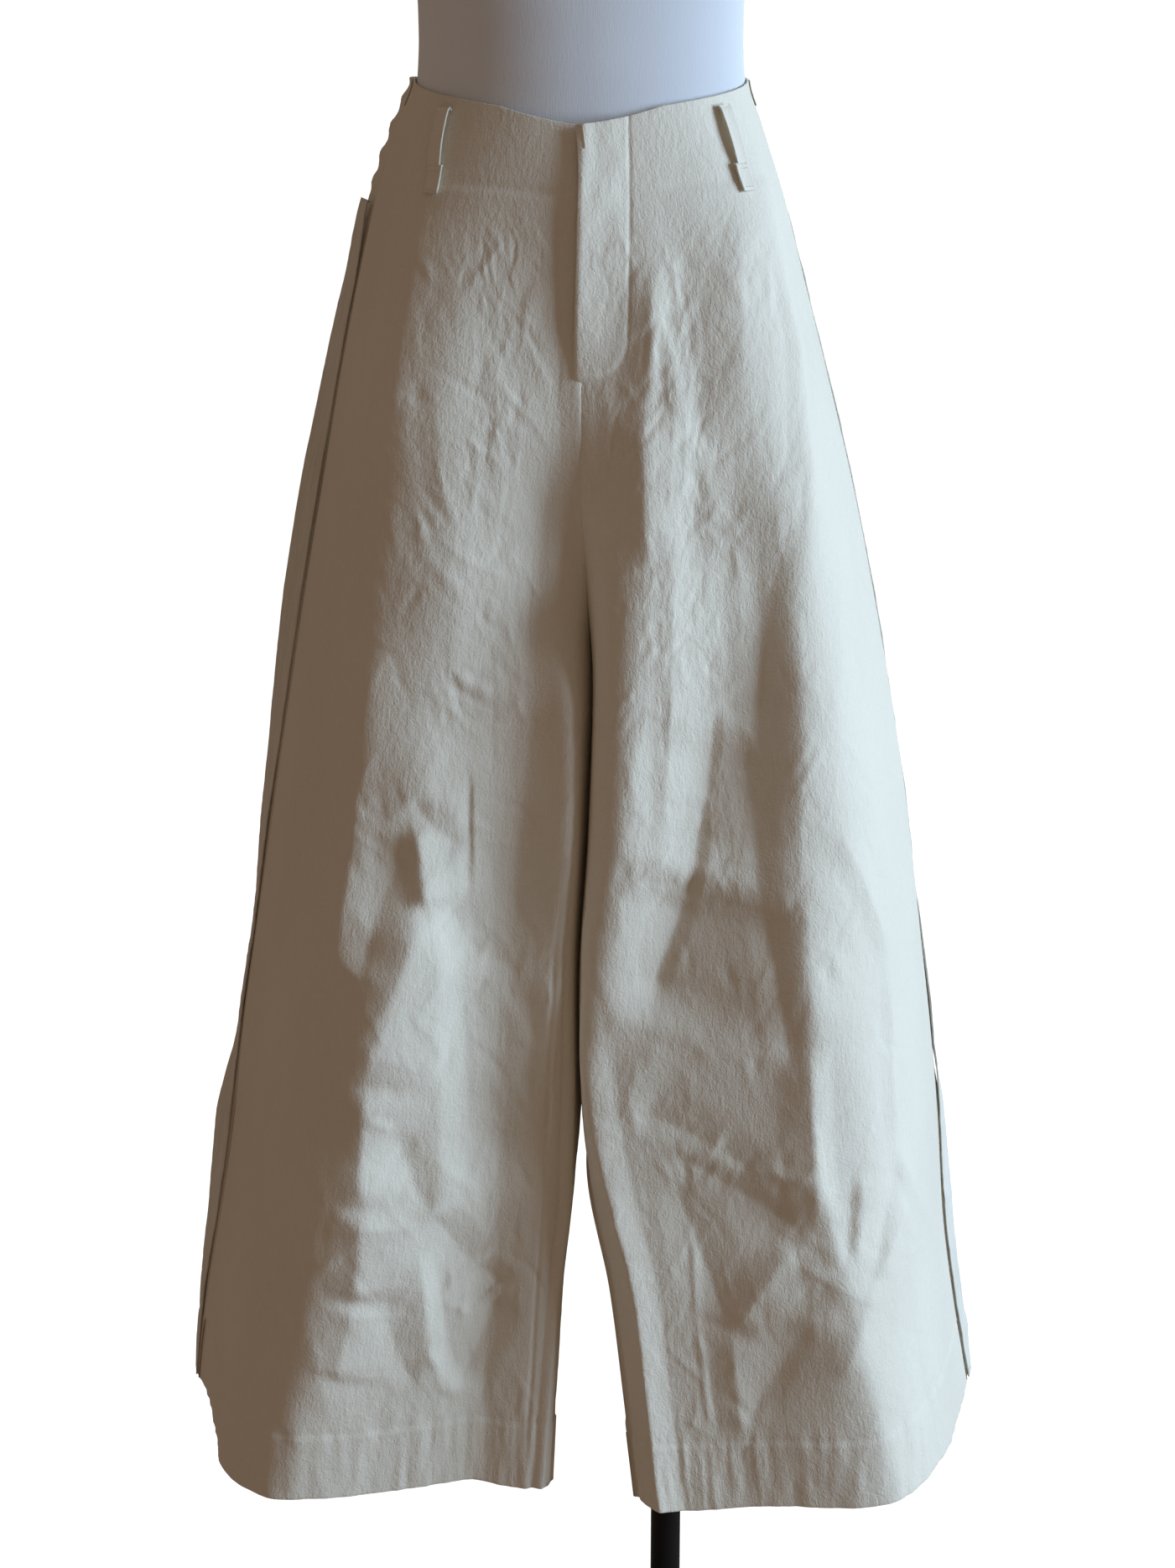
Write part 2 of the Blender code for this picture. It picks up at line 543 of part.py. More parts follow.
def turned(group, name, profile, place, look, steps=40, ring=False):
    """A turned solid: (radius, height) from the top down the outer side, closed on its axis.

    With ring=True the profile is a closed loop away from the axis.
    """
    bm = bmesh.new()
    spots = [bm.verts.new((r, 0.0, z)) for r, z in profile]
    for a, b in zip(spots, spots[1:] + (spots[:1] if ring else [])):
        bm.edges.new((a, b))
    mesh = bpy.data.meshes.new(name)
    bm.to_mesh(mesh)
    bm.free()
    thing = add_object(group, name, mesh, look)
    thing.location = place
    screw = thing.modifiers.new("turn", "SCREW")
    screw.steps = steps
    screw.render_steps = steps
    screw.use_merge_vertices = True
    screw.merge_threshold = 0.00005
    screw.use_smooth_shade = False
    return thing


def build():
    group = clear_scene()
    canvas = material("cream_canvas", (0.76, 0.72, 0.62), 0.90)
    tape = material("side_tape", (0.60, 0.51, 0.31), 0.88)
    jersey = material("form_jersey", (0.80, 0.82, 0.86), 0.80)
    satin = material("cap_satin", (0.70, 0.71, 0.73), 0.35, 0.6)
    black = material("stand_black", (0.012, 0.012, 0.013), 0.42, 0.3)

    for side, word in ((-1, "right"), (1, "left")):
        panel(group, "front_" + word, side, -1, canvas)
        panel(group, "back_" + word, side, 1, canvas)
        side_tape(group, "side_tape_" + word, side, tape)
        belt_loop(group, "belt_loop_front_" + word, side, -1, LOOP_PLACE_FRONT, canvas, LOOP_LEAN)
        belt_loop(group, "belt_loop_back_" + word, side, 1, LOOP_PLACE_BACK, canvas)
    fly(group, canvas)

    form_torso(group, jersey)
    bottom = WAIST_Z + FORM[0][0]
    top = WAIST_Z + NECK_TOP
    turned(group, "form_neck_cap",
           ((0.0, 0.020), (0.010, 0.0195), (0.022, 0.0165), (0.034, 0.0125), (0.043, 0.0085),
            (0.048, 0.005), (0.048, 0.0), (0.0, 0.0)), (0, 0.001, top + GAP), satin)
    turned(group, "pole_collar",
           ((POLE_RADIUS + GAP, COLLAR_HEIGHT), (COLLAR_RADIUS - 0.003, COLLAR_HEIGHT),
            (COLLAR_RADIUS, COLLAR_HEIGHT - 0.003), (COLLAR_RADIUS, 0.0),
            (POLE_RADIUS + GAP, 0.0)),
           (POLE_X, 0, BASE_THICKNESS + GAP), black, ring=True)
    turned(group, "form_pole",
           ((0.0, bottom - GAP), (POLE_RADIUS, bottom - GAP), (POLE_RADIUS, BASE_THICKNESS + GAP),
            (0.0, BASE_THICKNESS + GAP)), (POLE_X, 0, 0), black, 32)
    turned(group, "form_base",
           ((0.0, BASE_THICKNESS), (BASE_RADIUS - 0.004, BASE_THICKNESS),
            (BASE_RADIUS, BASE_THICKNESS - 0.004), (BASE_RADIUS, 0.0), (0.0, 0.0)),
           (0, 0, 0), black, 64)


build()
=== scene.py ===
import math

import bpy
import numpy as np
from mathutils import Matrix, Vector


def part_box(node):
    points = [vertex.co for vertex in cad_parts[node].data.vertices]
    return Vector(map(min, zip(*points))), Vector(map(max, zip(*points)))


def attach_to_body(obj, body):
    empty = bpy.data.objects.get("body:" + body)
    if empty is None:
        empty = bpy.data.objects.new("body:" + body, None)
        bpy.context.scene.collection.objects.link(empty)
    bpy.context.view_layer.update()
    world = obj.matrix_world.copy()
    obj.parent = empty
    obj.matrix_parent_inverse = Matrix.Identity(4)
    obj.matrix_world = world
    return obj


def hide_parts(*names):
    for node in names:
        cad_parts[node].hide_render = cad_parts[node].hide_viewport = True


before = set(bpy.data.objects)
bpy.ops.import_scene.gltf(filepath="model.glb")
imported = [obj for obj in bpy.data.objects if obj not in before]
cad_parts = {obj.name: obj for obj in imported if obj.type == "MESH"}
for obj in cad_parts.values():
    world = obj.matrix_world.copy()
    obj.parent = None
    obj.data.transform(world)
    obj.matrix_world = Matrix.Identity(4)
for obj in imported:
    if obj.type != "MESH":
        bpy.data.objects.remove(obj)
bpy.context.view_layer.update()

# Metres, +Z up, the front faces -Y. "right" and "left" are the wearer's: the right leg is at -X.
# "drop" is the distance below the waist's side. A panel's u runs from the side seam (0) to its
# inner edge (1), and its level is the drop before the waist and hem curve is added.

# ---- the object's sizes: the CAD model's own, where no comment says otherwise ------------------
WAIST_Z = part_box("front_right")[1].z
SIDE_LENGTH = 1.058
WAIST_DIP = 0.032
WAIST_LIFT = 0.006
HEM_DIP = 0.020
FORK = 0.460
HEM_DEPTH = 0.055        # the CAD model's thicker hem wall is only 0.040 deep
HEM_LINE = SIDE_LENGTH - HEM_DEPTH
TAPE_WIDTH = 0.018
TAPE_TOP = 0.0865
FLY_WIDTH = 0.0345
FLY_LENGTH = 0.178
LOOP_WIDTH = 0.012
LOOP_TOP = 0.008
LOOP_BREAK = 0.055
LOOP_END = 0.076
LOOP_LEAN = 0.006
LOOP_PLACE_FRONT = 0.335
LOOP_PLACE_BACK = 0.46
NECK_TOP = 0.470

# The CAD model has other values in these two tables: its inner_power and outer_power are lower, so
# its inner corners are rounder, and its inner column is up to 8.5 mm less.
LEG_COLUMNS = ("drop", "edge", "fin", "mid", "front", "back", "inner", "inseam", "outer_power",
               "inner_power", "pinch")
RIGHT_LEG = (
    (-0.02, 0.1215, 0.003, 0.000, 0.0955, 0.0975, 0.0005, 0.000, 2.15, 2.15, 0.0000),
    (0.000, 0.1225, 0.004, 0.000, 0.0955, 0.0975, 0.0005, 0.000, 2.15, 2.15, 0.0000),
    (0.032, 0.1345, 0.005, 0.002, 0.0985, 0.1030, 0.0005, 0.000, 2.20, 2.20, 0.0005),
    (0.086, 0.1525, 0.007, 0.018, 0.1085, 0.1160, 0.0005, 0.000, 2.25, 2.25, 0.0020),
    (0.150, 0.1680, 0.010, 0.036, 0.1165, 0.1270, 0.0005, 0.000, 2.35, 2.30, 0.0045),
    (0.210, 0.1810, 0.013, 0.054, 0.1230, 0.1340, 0.0005, 0.000, 2.40, 2.35, 0.0065),
    (0.300, 0.1985, 0.016, 0.076, 0.1310, 0.1380, 0.0005, 0.000, 2.45, 2.40, 0.0085),
    (0.380, 0.2138, 0.016, 0.095, 0.1370, 0.1380, 0.0005, 0.000, 2.50, 3.40, 0.0100),
    (0.460, 0.2275, 0.013, 0.110, 0.1400, 0.1360, 0.0005, 0.000, 2.50, 10.00, 0.0110),
    (0.550, 0.2430, 0.008, 0.123, 0.1425, 0.1330, 0.0005, 0.500, 2.55, 13.00, 0.0120),
    (0.650, 0.2595, 0.003, 0.134, 0.1440, 0.1300, 0.0006, 0.680, 2.55, 14.00, 0.0135),
    (0.740, 0.2740, 0.004, 0.143, 0.1450, 0.1280, 0.0007, 0.740, 2.60, 14.00, 0.0150),
    (0.820, 0.2845, 0.014, 0.149, 0.1460, 0.1260, 0.0030, 0.820, 2.65, 13.00, 0.0160),
    (0.900, 0.2975, 0.010, 0.157, 0.1465, 0.1240, 0.0120, 0.880, 2.75, 13.00, 0.0170),
    (0.980, 0.3115, 0.005, 0.165, 0.1470, 0.1230, 0.0175, 0.920, 2.85, 14.00, 0.0170),
    (1.080, 0.3245, 0.001, 0.175, 0.1480, 0.1220, 0.0235, 0.945, 2.85, 14.00, 0.0170),
)
LEFT_LEG = (
    (-0.02, 0.1215, -0.002, 0.000, 0.0955, 0.0975, 0.0001, 0.000, 2.15, 2.15, 0.0000),
    (0.000, 0.1225, -0.002, 0.000, 0.0955, 0.0975, 0.0001, 0.000, 2.15, 2.15, 0.0000),
    (0.032, 0.1330, -0.003, 0.002, 0.0985, 0.1030, 0.0001, 0.000, 2.20, 2.20, 0.0005),
    (0.086, 0.1510, -0.004, 0.018, 0.1085, 0.1160, 0.0001, 0.000, 2.25, 2.25, 0.0020),
    (0.150, 0.1685, -0.004, 0.036, 0.1170, 0.1270, 0.0001, 0.000, 2.35, 2.30, 0.0045),
    (0.210, 0.1850, -0.004, 0.054, 0.1240, 0.1340, 0.0001, 0.000, 2.40, 2.60, 0.0065),
    (0.300, 0.2080, -0.004, 0.078, 0.1330, 0.1380, 0.0001, 0.000, 2.45, 4.60, 0.0085),
    (0.380, 0.2255, -0.004, 0.099, 0.1400, 0.1380, 0.0001, 0.000, 2.50, 6.00, 0.0100),
    (0.460, 0.2410, -0.004, 0.115, 0.1440, 0.1360, 0.0001, 0.000, 2.50, 7.00, 0.0110),
    (0.550, 0.2565, -0.004, 0.127, 0.1475, 0.1330, 0.0001, 0.250, 2.55, 7.50, 0.0120),
    (0.650, 0.2700, -0.004, 0.135, 0.1505, 0.1300, 0.0001, 0.300, 2.55, 10.00, 0.0130),
    (0.740, 0.2820, -0.002, 0.140, 0.1530, 0.1280, 0.0014, 0.380, 2.60, 14.00, 0.0135),
    (0.820, 0.2905, 0.005, 0.145, 0.1555, 0.1260, 0.0080, 0.740, 2.60, 14.00, 0.0135),
    (0.900, 0.2970, 0.008, 0.150, 0.1580, 0.1240, 0.0220, 0.866, 2.60, 14.00, 0.0135),
    (0.980, 0.3080, 0.007, 0.156, 0.1610, 0.1230, 0.0310, 0.890, 2.60, 14.00, 0.0130),
    (1.080, 0.3265, 0.001, 0.165, 0.1660, 0.1220, 0.0425, 0.893, 2.60, 14.00, 0.0120),
)
RISE_COLUMNS = ("drop", "front", "back")
RISE = (
    (-0.02, 0.0950, 0.0970), (0.000, 0.0950, 0.0970), (0.032, 0.0978, 0.1020),
    (0.086, 0.1070, 0.1145), (0.150, 0.1120, 0.1225), (0.210, 0.1145, 0.1255),
    (0.300, 0.1120, 0.1210), (0.360, 0.1020, 0.1080), (0.405, 0.0880, 0.0900),
    (0.432, 0.0720, 0.0730), (0.448, 0.0520, 0.0530), (0.456, 0.0320, 0.0330),
    (0.460, 0.0000, 0.0000),
)
FORM_COLUMNS = ("rise", "half_width", "front", "back", "power")
FORM = (
    (-0.300, 0.118, 0.070, 0.078, 2.2), (-0.290, 0.140, 0.086, 0.098, 2.2),
    (-0.265, 0.156, 0.098, 0.112, 2.2), (-0.230, 0.163, 0.104, 0.119, 2.2),
    (-0.180, 0.161, 0.105, 0.120, 2.2), (-0.120, 0.150, 0.101, 0.114, 2.2),
    (-0.070, 0.136, 0.096, 0.104, 2.2), (-0.032, 0.1245, 0.0928, 0.0953, 2.15),
    (0.000, 0.1200, 0.0928, 0.0947, 2.15), (0.030, 0.1185, 0.091, 0.094, 2.15),
    (0.060, 0.1190, 0.091, 0.094, 2.2), (0.110, 0.127, 0.097, 0.098, 2.2),
    (0.170, 0.139, 0.110, 0.104, 2.2), (0.220, 0.147, 0.119, 0.107, 2.2),
    (0.270, 0.152, 0.112, 0.108, 2.2), (0.320, 0.158, 0.092, 0.104, 2.2),
    (0.360, 0.162, 0.078, 0.094, 2.3), (0.385, 0.150, 0.070, 0.082, 2.3),
    (0.400, 0.118, 0.063, 0.070, 2.2), (0.412, 0.080, 0.056, 0.060, 2.1),
    (0.424, 0.058, 0.050, 0.053, 2.0), (0.445, 0.052, 0.048, 0.050, 2.0),
    (NECK_TOP, 0.050, 0.047, 0.049, 2.0),
)

# ---- the cloth's own sizes ---------------------------------------------------------------------
PLY = 0.0008             # one layer of canvas
FACING_DEPTH = 0.066     # waist facing inside, its edge shows as a faint step
WAIST_TURN = 0.018       # how far the waist's inner ply is modelled
RING_STEP = 0.002        # drop between the rings that the panels are read from
SETBACK = 0.008          # the right front's, below the knee
SWELL_FADE = 0.3         # share of a swell's length over which it rises and dies
SWELL_RUNS_OUT = 1.07    # a swell that ends below this drop runs out at the hem
HEM_RISE_LEFT = 0.0080   # how far the hem lifts towards the side
HEM_RISE_RIGHT = 0.0100
HEM_ARCH = 0.002         # and in the right hem's arch
SEAM_REACH = 0.010       # relief grows to its full height this far from a seam
PRESS_SHIFT = 0.012      # how far the legs' inner walls lean in behind their pressed front edge
PRESS_TOP = 0.68
LAP = 0.0060             # how far the left leg's front corner laps over the right leg
UNDERLAP = 0.014         # right front carried on under the fly

# The centre line sways a little to the wearer's left below the hips.
SWAY_COLUMNS = ("drop", "shift")
SWAY = ((0.00, 0.0), (0.15, 0.0), (0.21, -0.0015), (0.28, 0.0010), (0.36, 0.0050), (0.44, 0.0068),
        (0.54, 0.0040), (0.66, -0.0008), (0.74, 0.0), (1.10, 0.0))
SWAY_REACH = 0.055


# ---- tables and rings --------------------------------------------------------------------------
def table(rows, columns):
    """A function that reads one named column of a table, smoothly, at any places."""
    data = np.array(rows, float)
    place, values = data[:, 0], data[:, 1:]
    steps = np.diff(values, axis=0) / np.diff(place)[:, None]
    before, after = steps[:-1], steps[1:]
    product = before * after
    total = np.where(product > 0, before + after, 1.0)
    inner = np.where(product > 0, 2 * product / total, 0.0)
    tangents = np.vstack([steps[:1], inner, steps[-1:]])

    def read(where, name):
        c = columns.index(name) - 1
        at = np.clip(np.asarray(where, float), place[0], place[-1])
        i = np.clip(np.searchsorted(place, at, side="right") - 1, 0, len(place) - 2)
        width = place[i + 1] - place[i]
        t = (at - place[i]) / width
        a, b = values[i, c], values[i + 1, c]
        ma, mb = tangents[i, c] * width, tangents[i + 1, c] * width
        return ((2 * t ** 3 - 3 * t ** 2 + 1) * a + (t ** 3 - 2 * t ** 2 + t) * ma
                + (3 * t ** 2 - 2 * t ** 3) * b + (t ** 3 - t ** 2) * mb)
    return read


LEG = {-1: table(RIGHT_LEG, LEG_COLUMNS), 1: table(LEFT_LEG, LEG_COLUMNS)}
RISE_AT = table(RISE, RISE_COLUMNS)
FORM_AT = table(FORM, FORM_COLUMNS)
SWAY_AT = table(SWAY, SWAY_COLUMNS)


def smooth_step(t):
    t = np.clip(t, 0.0, 1.0)
    return t * t * (3 - 2 * t)


def quarter(reach, depth, power, first, last, steps=40):
    """Part of a superellipse between two angles in quarter turns, 1 at mid front: across, y."""
    angle = math.pi / 2 * (first + (last - first) * np.linspace(0, 1, steps + 1))
    return np.column_stack((reach * np.abs(np.cos(angle)) ** (2 / power),
                            depth * np.abs(np.sin(angle)) ** (2 / power)))


def outer_quarter(leg, drop, tip_x, tip_y, depth):
    """From mid front (or mid back) out to the side, bowed in beside the seam."""
    mid = leg(drop, "mid")
    points = quarter(tip_x - mid, depth - tip_y, leg(drop, "outer_power"), 1, 0)
    bow = leg(drop, "pinch") * np.sin(math.pi * np.minimum(1.0, points[:, 1] / (depth - tip_y)))
    return np.column_stack((mid + points[:, 0] - bow, tip_y + points[:, 1]))


def inner_quarter(leg, drop, depth, seam_depth, inseam):
    """From mid front (or mid back) in to the rise seam, or below the fork to the inseam."""
    mid, power = leg(drop, "mid"), leg(drop, "inner_power")
    if drop < FORK:
        end = math.asin(min(0.9985, seam_depth / depth) ** (power / 2))
        reach = mid / abs(math.cos(end)) ** (2 / power)
    else:
        end = math.asin(inseam ** (power / 2))
        reach = mid - leg(drop, "inner")
    points = quarter(reach, depth, power, 1, end * 2 / math.pi)
    return np.column_stack((mid - points[:, 0], points[:, 1]))


def tape_corner(side, drop):
    """Outer edge of the narrow facet that carries the side tape."""
    fin = LEG[side](drop, "fin")
    return LEG[side](drop, "edge") + fin, math.sqrt(TAPE_WIDTH ** 2 - fin ** 2)


def ring_curve(side, face, drop):
    """A panel's ring from the side (front: seam, back: tape corner) to its inner edge."""
    leg = LEG[side]
    name = "front" if face < 0 else "back"
    depth = leg(drop, name)
    tip = (leg(drop, "edge"), 0.0) if face < 0 else tape_corner(side, drop)
    outer = outer_quarter(leg, drop, *tip, depth)[::-1]
    inseam = leg(drop, "inseam") if face < 0 else 0.0
    inner = inner_quarter(leg, drop, depth, RISE_AT(drop, name), inseam)[1:]
    parts = [outer, inner]
    if face > 0 and drop >= FORK:
        power = leg(drop, "inner_power")
        end = math.asin(leg(drop, "inseam") ** (power / 2)) * 2 / math.pi
        wrap = quarter(leg(drop, "mid") - leg(drop, "inner"), leg(drop, "front"), power, 0, end)
        parts.append(np.column_stack((leg(drop, "mid") - wrap[1:, 0], -wrap[1:, 1])))
    points = np.vstack(parts)
    points[:, 0] = np.maximum(points[:, 0], 0.0)
    if face < 0:
        points[:, 1] *= -1
    return points


def split_ring(points, lengths, split_x):
    """Length of a ring outside the place where it first comes in to split_x."""
    inside = np.nonzero(points[1:, 0] <= split_x)[0]
    if not len(inside):
        return lengths[-1]
    i = inside[0]
    a, b = points[i, 0], points[i + 1, 0]
    share = (a - split_x) / max(a - b, 1e-12)
    return lengths[i] + (lengths[i + 1] - lengths[i]) * share


def hook_crowd(drop):
    return 1.3 + 2.7 * math.exp(-((drop - FORK) / 0.07) ** 2)


def on_ring(points, split_x, shares, middle, crowd):
    """Points of a ring at shares of its width, spaced as the CAD panels' columns are."""
    lengths = np.concatenate(([0.0], np.cumsum(np.hypot(*np.diff(points, axis=0).T))))
    outer = split_ring(points, lengths, split_x)
    inner = lengths[-1] - outer
    t = np.clip((shares - middle) / (1 - middle), 0, 1)
    plain = min(inner, split_x)
    place = np.where(shares <= middle, outer * shares / middle,
                     outer + plain * t + (inner - plain) * t ** crowd)
    return np.interp(place, lengths, points[:, 0]), np.interp(place, lengths, points[:, 1])


def hem_hang(u):
    return smooth_step(u / 0.45) * (1 - 0.25 * smooth_step((u - 0.75) / 0.25))


def edge_drop(level, top, bottom):
    """A row's true drop: the waist and the hem are curved, the rows between are level."""
    near_top = 1 - smooth_step(level / 0.12)
    near_hem = smooth_step((level - (SIDE_LENGTH - 0.16)) / 0.12)
    return level + top * near_top + bottom * near_hem


def pressed(side, drop, x, y):
    """Leans the left leg's front corner over the right leg, and below that the legs' inner
    walls in behind the pressed edge at their front."""
    inner = LEG[side](drop, "inner")
    amount = PRESS_SHIFT * smooth_step((drop - PRESS_TOP) / 0.22)
    near = smooth_step((inner + 0.055 - x) / 0.05)
    lap = LAP * smooth_step((drop - 0.36) / 0.10) * smooth_step((0.90 - drop) / 0.12)
    lap = lap * (smooth_step((-y - 0.080) / 0.045) - 0.6) * smooth_step((0.03 - x) / 0.03)
    return x + amount * near * smooth_step((y + 0.135) / 0.10) - side * lap


class Rings:
    """All rings of one panel, read from the tables once, at shares `u` of its width."""

    def __init__(self, side, face, u):
        self.side, self.face, self.u = side, face, u
        self.drops = np.arange(-0.012, SIDE_LENGTH + HEM_DIP + RING_STEP, RING_STEP)
        rows = [self.ring(drop) for drop in self.drops]
        self.x = np.array([row[0] for row in rows])
        self.y = np.array([row[1] for row in rows])

    def ring(self, drop):
        points = ring_curve(self.side, self.face, drop)
        split = 0.45 * LEG[self.side](drop, "edge")
        crowd = hook_crowd(drop)
        if self.face < 0:
            x, y = on_ring(points, split, self.u, 0.5, crowd)
            return pressed(self.side, drop, x, y), y
        x, y = on_ring(points, split, np.maximum(0.0, (self.u - 0.1) / 0.9), 0.4, crowd)
        t = np.minimum(1.0, self.u / 0.1)
        corner = tape_corner(self.side, drop)
        on_facet = self.u < 0.1
        edge = LEG[self.side](drop, "edge")
        x = np.where(on_facet, edge * (1 - t) + corner[0] * t, x)
        y = np.where(on_facet, corner[1] * t, y)
        return pressed(self.side, drop, x, y), y

    def read(self, drop):
        """x (signed) and y of every column at the given drops, one drop for each entry."""
        at = (drop - self.drops[0]) / RING_STEP
        i = np.clip(np.floor(at).astype(int), 0, len(self.drops) - 2)
        t = at - i
        column = np.broadcast_to(np.arange(len(self.u)), drop.shape)
        x = self.x[i, column] * (1 - t) + self.x[i + 1, column] * t
        y = self.y[i, column] * (1 - t) + self.y[i + 1, column] * t
        return self.side * x, y

    def surface(self, levels):
        """The panel's smooth surface as an array of points [level, u, 3]."""
        level = np.broadcast_to(np.asarray(levels)[:, None], (len(levels), len(self.u)))
        u = self.u[None, :]
        if self.face < 0:
            drop = edge_drop(level, WAIST_DIP * (1 - (1 - u) ** 1.3), HEM_DIP * hem_hang(u))
        else:
            hang = 0.3 * smooth_step(u / 0.4) + 0.45 * smooth_step((u - 0.8) / 0.2)
            drop = edge_drop(level, -WAIST_LIFT * smooth_step(u), HEM_DIP * hang)
        x, y = self.read(drop)
        return np.stack((x, y, WAIST_Z - drop), axis=-1)


# ---- folds and creases -------------------------------------------------------------------------
# These tables are in millimetres, by panel. x is the distance from the centre plane. A fold is a
# soft gaussian ridge, or a trough where its height is negative. A swell or a crease is a tent, with
# its own width towards the centre ("inner") and towards the side ("outer"); "blunt" rounds a
# swell's crest, and "bow" bends a crease's middle outwards.
RIGHT_FRONT, LEFT_FRONT, RIGHT_BACK, LEFT_BACK = (-1, -1), (1, -1), (-1, 1), (1, 1)
PER_METRE = 1000         # millimetres

# Columns: x_top, top, x_end, end, half_width, height.
FOLDS = {
    RIGHT_FRONT: (
        (85, 160, 100, 430, 26, 3.5), (118, 520, 165, 820, 26, 2), (80, 600, 70, 800, 22, -1.5),
        (140, 820, 120, 980, 26, 1.5), (215, 620, 255, 960, 24, -4.5),
    ),
    LEFT_FRONT: (
        (48, 120, 58, 420, 20, 4), (140, 160, 150, 420, 24, 3), (118, 500, 145, 760, 24, -2),
        (205, 700, 238, 900, 26, 3), (29, 350, 12, 660, 26, 6.6), (160, 800, 205, 980, 24, 2),
    ),
    RIGHT_BACK: (
        (90, 200, 110, 480, 26, 4.5), (170, 500, 180, 820, 28, 5.5), (75, 600, 100, 940, 26, -5.5),
    ),
    LEFT_BACK: (
        (100, 180, 120, 460, 26, 5), (150, 520, 190, 860, 28, -6), (80, 560, 90, 900, 26, 5),
    ),
}
# Columns: x, drop, x_end, drop_end, height, inner, outer, blunt.
SWELLS = {
    RIGHT_FRONT: (
        # the pressed band and valley beside the left leg, the slanting front
        (18, 240, 46, 450, -10, 32, 48, 6), (37, 400, 58, 660, -8.5, 36, 75, 4),
        (56, 640, 62, 830, -7, 40, 70, 6), (106, 540, 108, 900, 7.8, 40, 90, 4),
        (62, 790, 82, 1080, -8.5, 48, 45, 5), (104, 50, 134, 290, 8.5, 62, 40, 3),
        (128, 100, 160, 560, 8.5, 60, 40, 10), (110, 440, 126, 620, 6, 55, 70, 4),
        (153, 540, 174, 790, 22.5, 100, 110, 10), (168, 720, 232, 1080, 37, 130, 110, 10),
    ),
    LEFT_FRONT: (
        # beside the fly, the flat hip, the trough that crosses the thigh, the outer crest
        (49, 130, 50, 230, 2.2, 14, 16, 2), (45, 215, 45, 345, 9, 30, 34, 3),
        (106, 70, 114, 260, 6.5, 48, 70, 5), (120, 30, 156, 260, 10, 65, 40, 8),
        (158, 200, 162, 560, 11, 50, 55, 6), (150, 290, 124, 500, -12.5, 95, 60, 4),
        (130, 290, 136, 570, -12.5, 115, 85, 4), (100, 450, 84, 575, -12, 60, 70, 4),
        (86, 560, 50, 690, -15, 60, 90, 4), (165, 540, 166, 700, 7, 60, 50, 6),
        (165, 600, 178, 860, 11.5, 120, 60, 6), (186, 830, 236, 1080, 18, 110, 55, 6),
    ),
    RIGHT_BACK: (
        # the backs hang in broad soft folds of the same kind
        (36, 560, 44, 1000, 6.5, 28, 36, 5), (70, 330, 86, 1080, -9.5, 46, 56, 8),
        (128, 300, 150, 860, 11, 45, 50, 6), (170, 480, 196, 1080, -11, 46, 50, 8),
        (205, 560, 244, 1080, 9, 50, 60, 6),
    ),
    LEFT_BACK: (
        (48, 640, 62, 1080, 7.5, 32, 40, 5), (80, 300, 92, 940, -8.5, 50, 46, 8),
        (100, 180, 118, 330, 5, 40, 45, 4), (140, 360, 166, 1080, 12, 54, 46, 6),
        (186, 620, 216, 1080, -10, 44, 50, 7),
    ),
}
